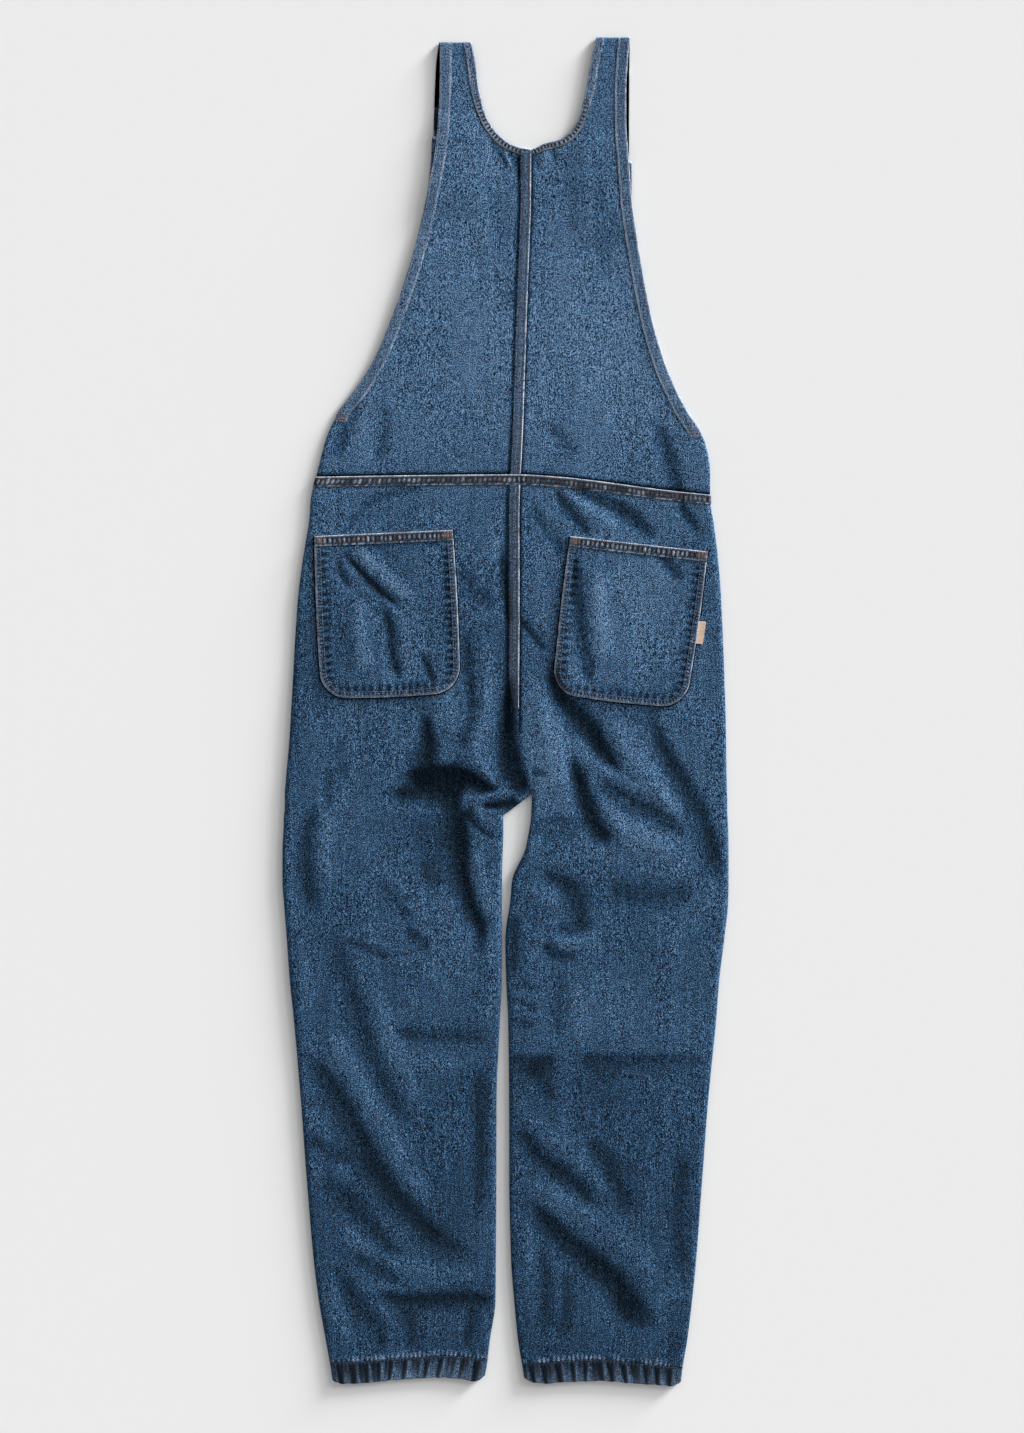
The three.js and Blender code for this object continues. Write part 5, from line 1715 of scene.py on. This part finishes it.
def tab_surface(u, v):
    across = POCKET_WIDTH + SEAM_GAP + u * TAB_WIDTH
    place = on_pocket("right", across, -TAB_BELOW - v * TAB_LENGTH)
    place[..., 2] = back_height(place[..., 0], place[..., 1]) + CLOTH / 2 + SEWN_ON + TAB_THICK / 2
    place[..., 2] += 0.5 * (1 - u) ** 2
    return place


tape, wire = new_material("beige cotton tape")
place = wire.node("TexCoord", output=3)
ribs = wire.node(
    "TexWave",
    {"wave_type": "BANDS", "bands_direction": "Y"},
    {"Vector": place, "Scale": 280.0, "Distortion": 0.4},
    1,
)
soil = wire.node("TexNoise", {}, {"Vector": place, "Scale": 260.0, "Detail": 3.0})
colour = mixed(wire, (soil * 1.6 - 0.45).clamped() * 0.6, TAPE, TAPE_SHADE)
rib_bump = wire.node("Bump", {}, {"Strength": 0.6, "Distance": 0.0004, "Height": ribs})
finish_material(wire, {"Base Color": colour, "Roughness": 0.9, "Normal": rib_bump})
bm = bmesh.new()
u, v = np.meshgrid(soft_ends(0.04, 12), soft_ends(0.02, 26)[::-1])
lay(bm, tab_surface, u, v)
tab = thickened(new_piece("tab_of_tape", new_mesh("tab_of_tape", bm), tape, "ecru_tape"), TAB_THICK)
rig.replaces(tab, "pocket_tab")
for side in SIDES:
    patch = cut_of(lambda u, v: on_pocket(side, u, v), (0, POCKET_WIDTH), (-POCKET_HEIGHT, 0))
    caught = [tab] if side == "right" else []
    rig.sheet(pockets[side], held="laid", rests_on=[back_legs[side]], with_pieces=caught, **patch)

# Two sewn-on metal buttons, one on each strap's end. They are turned from copper-coloured brass, with
# a rounded rim round a shallow dish, and lie face down on the table.
BUTTON_RADIUS = 8.5
ButtonRing = namedtuple("ButtonRing", "radius height")
BUTTON_PROFILE = [
    ButtonRing(0, BUTTON_THICK),
    ButtonRing(BUTTON_RADIUS - 1.2, BUTTON_THICK),
    ButtonRing(BUTTON_RADIUS - 0.3, BUTTON_THICK - 0.3),
    ButtonRing(BUTTON_RADIUS, BUTTON_THICK / 2),
    ButtonRing(BUTTON_RADIUS - 0.3, 0.3),
    ButtonRing(BUTTON_RADIUS - 1.1, 0),
    ButtonRing(BUTTON_RADIUS - 2, 0.12),
    ButtonRing(BUTTON_RADIUS - 2.8, 0.5),
    ButtonRing(2.6, 0.62),
    ButtonRing(1.8, 0.3),
    ButtonRing(0, 0.25),
]
copper, wire = new_material("aged copper brass")
place = wire.node("TexCoord", output=3)
stain = wire.node("TexNoise", {}, {"Vector": place, "Scale": 420.0, "Detail": 4.0})
colour = mixed(wire, (stain * 2.2 - 0.6).clamped(), paint(172, 116, 78), paint(112, 70, 46))
finish_material(wire, {"Base Color": colour, "Metallic": 1.0, "Roughness": stain * 0.3 + 0.22})
for side, corner in CORNERS.items():
    bm = bmesh.new()
    profile = [bm.verts.new((ring.radius * MM, 0, ring.height * MM)) for ring in BUTTON_PROFILE]
    edges = [bm.edges.new(pair) for pair in zip(profile, profile[1:])]
    geom = profile + edges
    bmesh.ops.spin(bm, geom=geom, axis=(0, 0, 1), cent=(0, 0, 0), angle=2 * math.pi, steps=48, use_merge=True)
    bmesh.ops.remove_doubles(bm, verts=bm.verts, dist=1e-6)
    bmesh.ops.recalc_face_normals(bm, faces=bm.faces)
    bmesh.ops.translate(bm, verts=bm.verts, vec=(corner.button[0] * MM, corner.button[1] * MM, 0))
    button = new_piece(f"button_{side}", new_mesh(f"button_{side}", bm), copper, "button_metal")
    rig.replaces(button, f"strap_button_{side}")

# The topstitching: dark copper thread in stitches of one length, sunk a little into the cloth. It has
# faded to blue on the armholes and borders, and is rusty where its rows are dense.
STITCH = (2.6, 0.75, 0.5)  # length, width and height of one stitch
THREAD = paint(92, 62, 57)
THREAD_SHADE = paint(50, 36, 38)
FADED_THREAD = paint(108, 125, 152)
RUST_THREAD = paint(178, 114, 82)
thread, wire = new_material("dark copper thread")
place = wire.node("TexCoord", output=3)
uneven = wire.node("TexNoise", {}, {"Vector": place, "Scale": 240.0, "Detail": 2.0})
brown = mixed(wire, (uneven * 2.4 - 0.7).clamped(), THREAD, THREAD_SHADE)
hue = wire.node("Attribute", {"attribute_name": "hue"}, output=2)
rusty = mixed(wire, (hue * 2 - 1).clamped() * (uneven * 0.8 + 0.45), brown, RUST_THREAD)
colour = mixed(wire, (1 - hue * 2).clamped(), rusty, FADED_THREAD)
finish_material(wire, {"Base Color": colour, "Roughness": 0.7})
bm = bmesh.new()
bmesh.ops.create_uvsphere(bm, u_segments=6, v_segments=4, radius=0.5)
bead = new_mesh("bead", bm)
shape = np.array([vert.co for vert in bead.vertices])[:, [2, 0, 1]] * STITCH
at, ahead, up, hues = (np.concatenate(each) for each in zip(*stitches))
ahead /= np.linalg.norm(ahead, axis=1, keepdims=True)
ways = (ahead, np.cross(up, ahead), up)
points = at[:, None] + sum(shape[None, :, k, None] * way[:, None] for k, way in enumerate(ways))
count = len(bead.vertices)
faces = [[k + i * count for k in face.vertices] for i in range(len(at)) for face in bead.polygons]
sewn = bpy.data.meshes.new("topstitching")
sewn.from_pydata(points.reshape(-1, 3) * MM, [], faces)
sewn.attributes.new("hue", "FLOAT", "POINT").data.foreach_set("value", np.repeat(hues, count))
new_piece("topstitching", sewn, thread)

# The table, the light and the camera. The garment lies on a pale table, lit from the upper right by a
# soft low sun and an even sky, and is seen from straight above.
LOOKS_FROM = (7.24, -5.57, 3768)
LENS = 85
FILM = 36
TABLE_REACH = 6  # metres from its middle to its edges
TABLE_SHADE = (0.838, 0.838, 0.838, 1)
SKY = 0.46
bm = bmesh.new()
bmesh.ops.create_grid(bm, x_segments=1, y_segments=1, size=TABLE_REACH)
table = new_object("table", new_mesh("table", bm))
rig.stage(table)
pale, wire = new_material("pale table")
finish_material(wire, {"Base Color": TABLE_SHADE, "Roughness": 0.95, "Specular IOR Level": 0.1})
table.data.materials.append(pale)


def sun(name, azimuth, elevation, softness, strength):
    """A far light: azimuth is counted from the garment's right towards its straps."""
    light = bpy.data.lights.new(name, "SUN")
    light.energy = strength
    light.angle = math.radians(softness)
    lamp = new_object(name, light)
    lamp.rotation_euler = (0, math.radians(90 - elevation), math.radians(azimuth))


sun("key", 34, 24, 26, 1.6)
sun("low", 43, 8, 18, 7.4)
world = bpy.data.worlds.new("sky")
bpy.context.scene.world = world
world.use_nodes = True
sky = world.node_tree.nodes["Background"].inputs
sky["Color"].default_value = (1, 1, 1, 1)
sky["Strength"].default_value = SKY

camera = bpy.data.cameras.new("overhead")
camera.lens = LENS
camera.sensor_fit = "VERTICAL"
camera.sensor_height = FILM
camera.clip_end = 20
eye = new_object("overhead", camera)
eye.location = [value * MM for value in LOOKS_FROM]
bpy.context.scene.camera = eye
bpy.context.scene.view_settings.view_transform = "Standard"

with open("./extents.json", "w") as sizes:
    boxes = {"cad": cad_box, "visual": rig.bounds()}
    json.dump({name: [list(corner) for corner in box] for name, box in boxes.items()}, sizes)
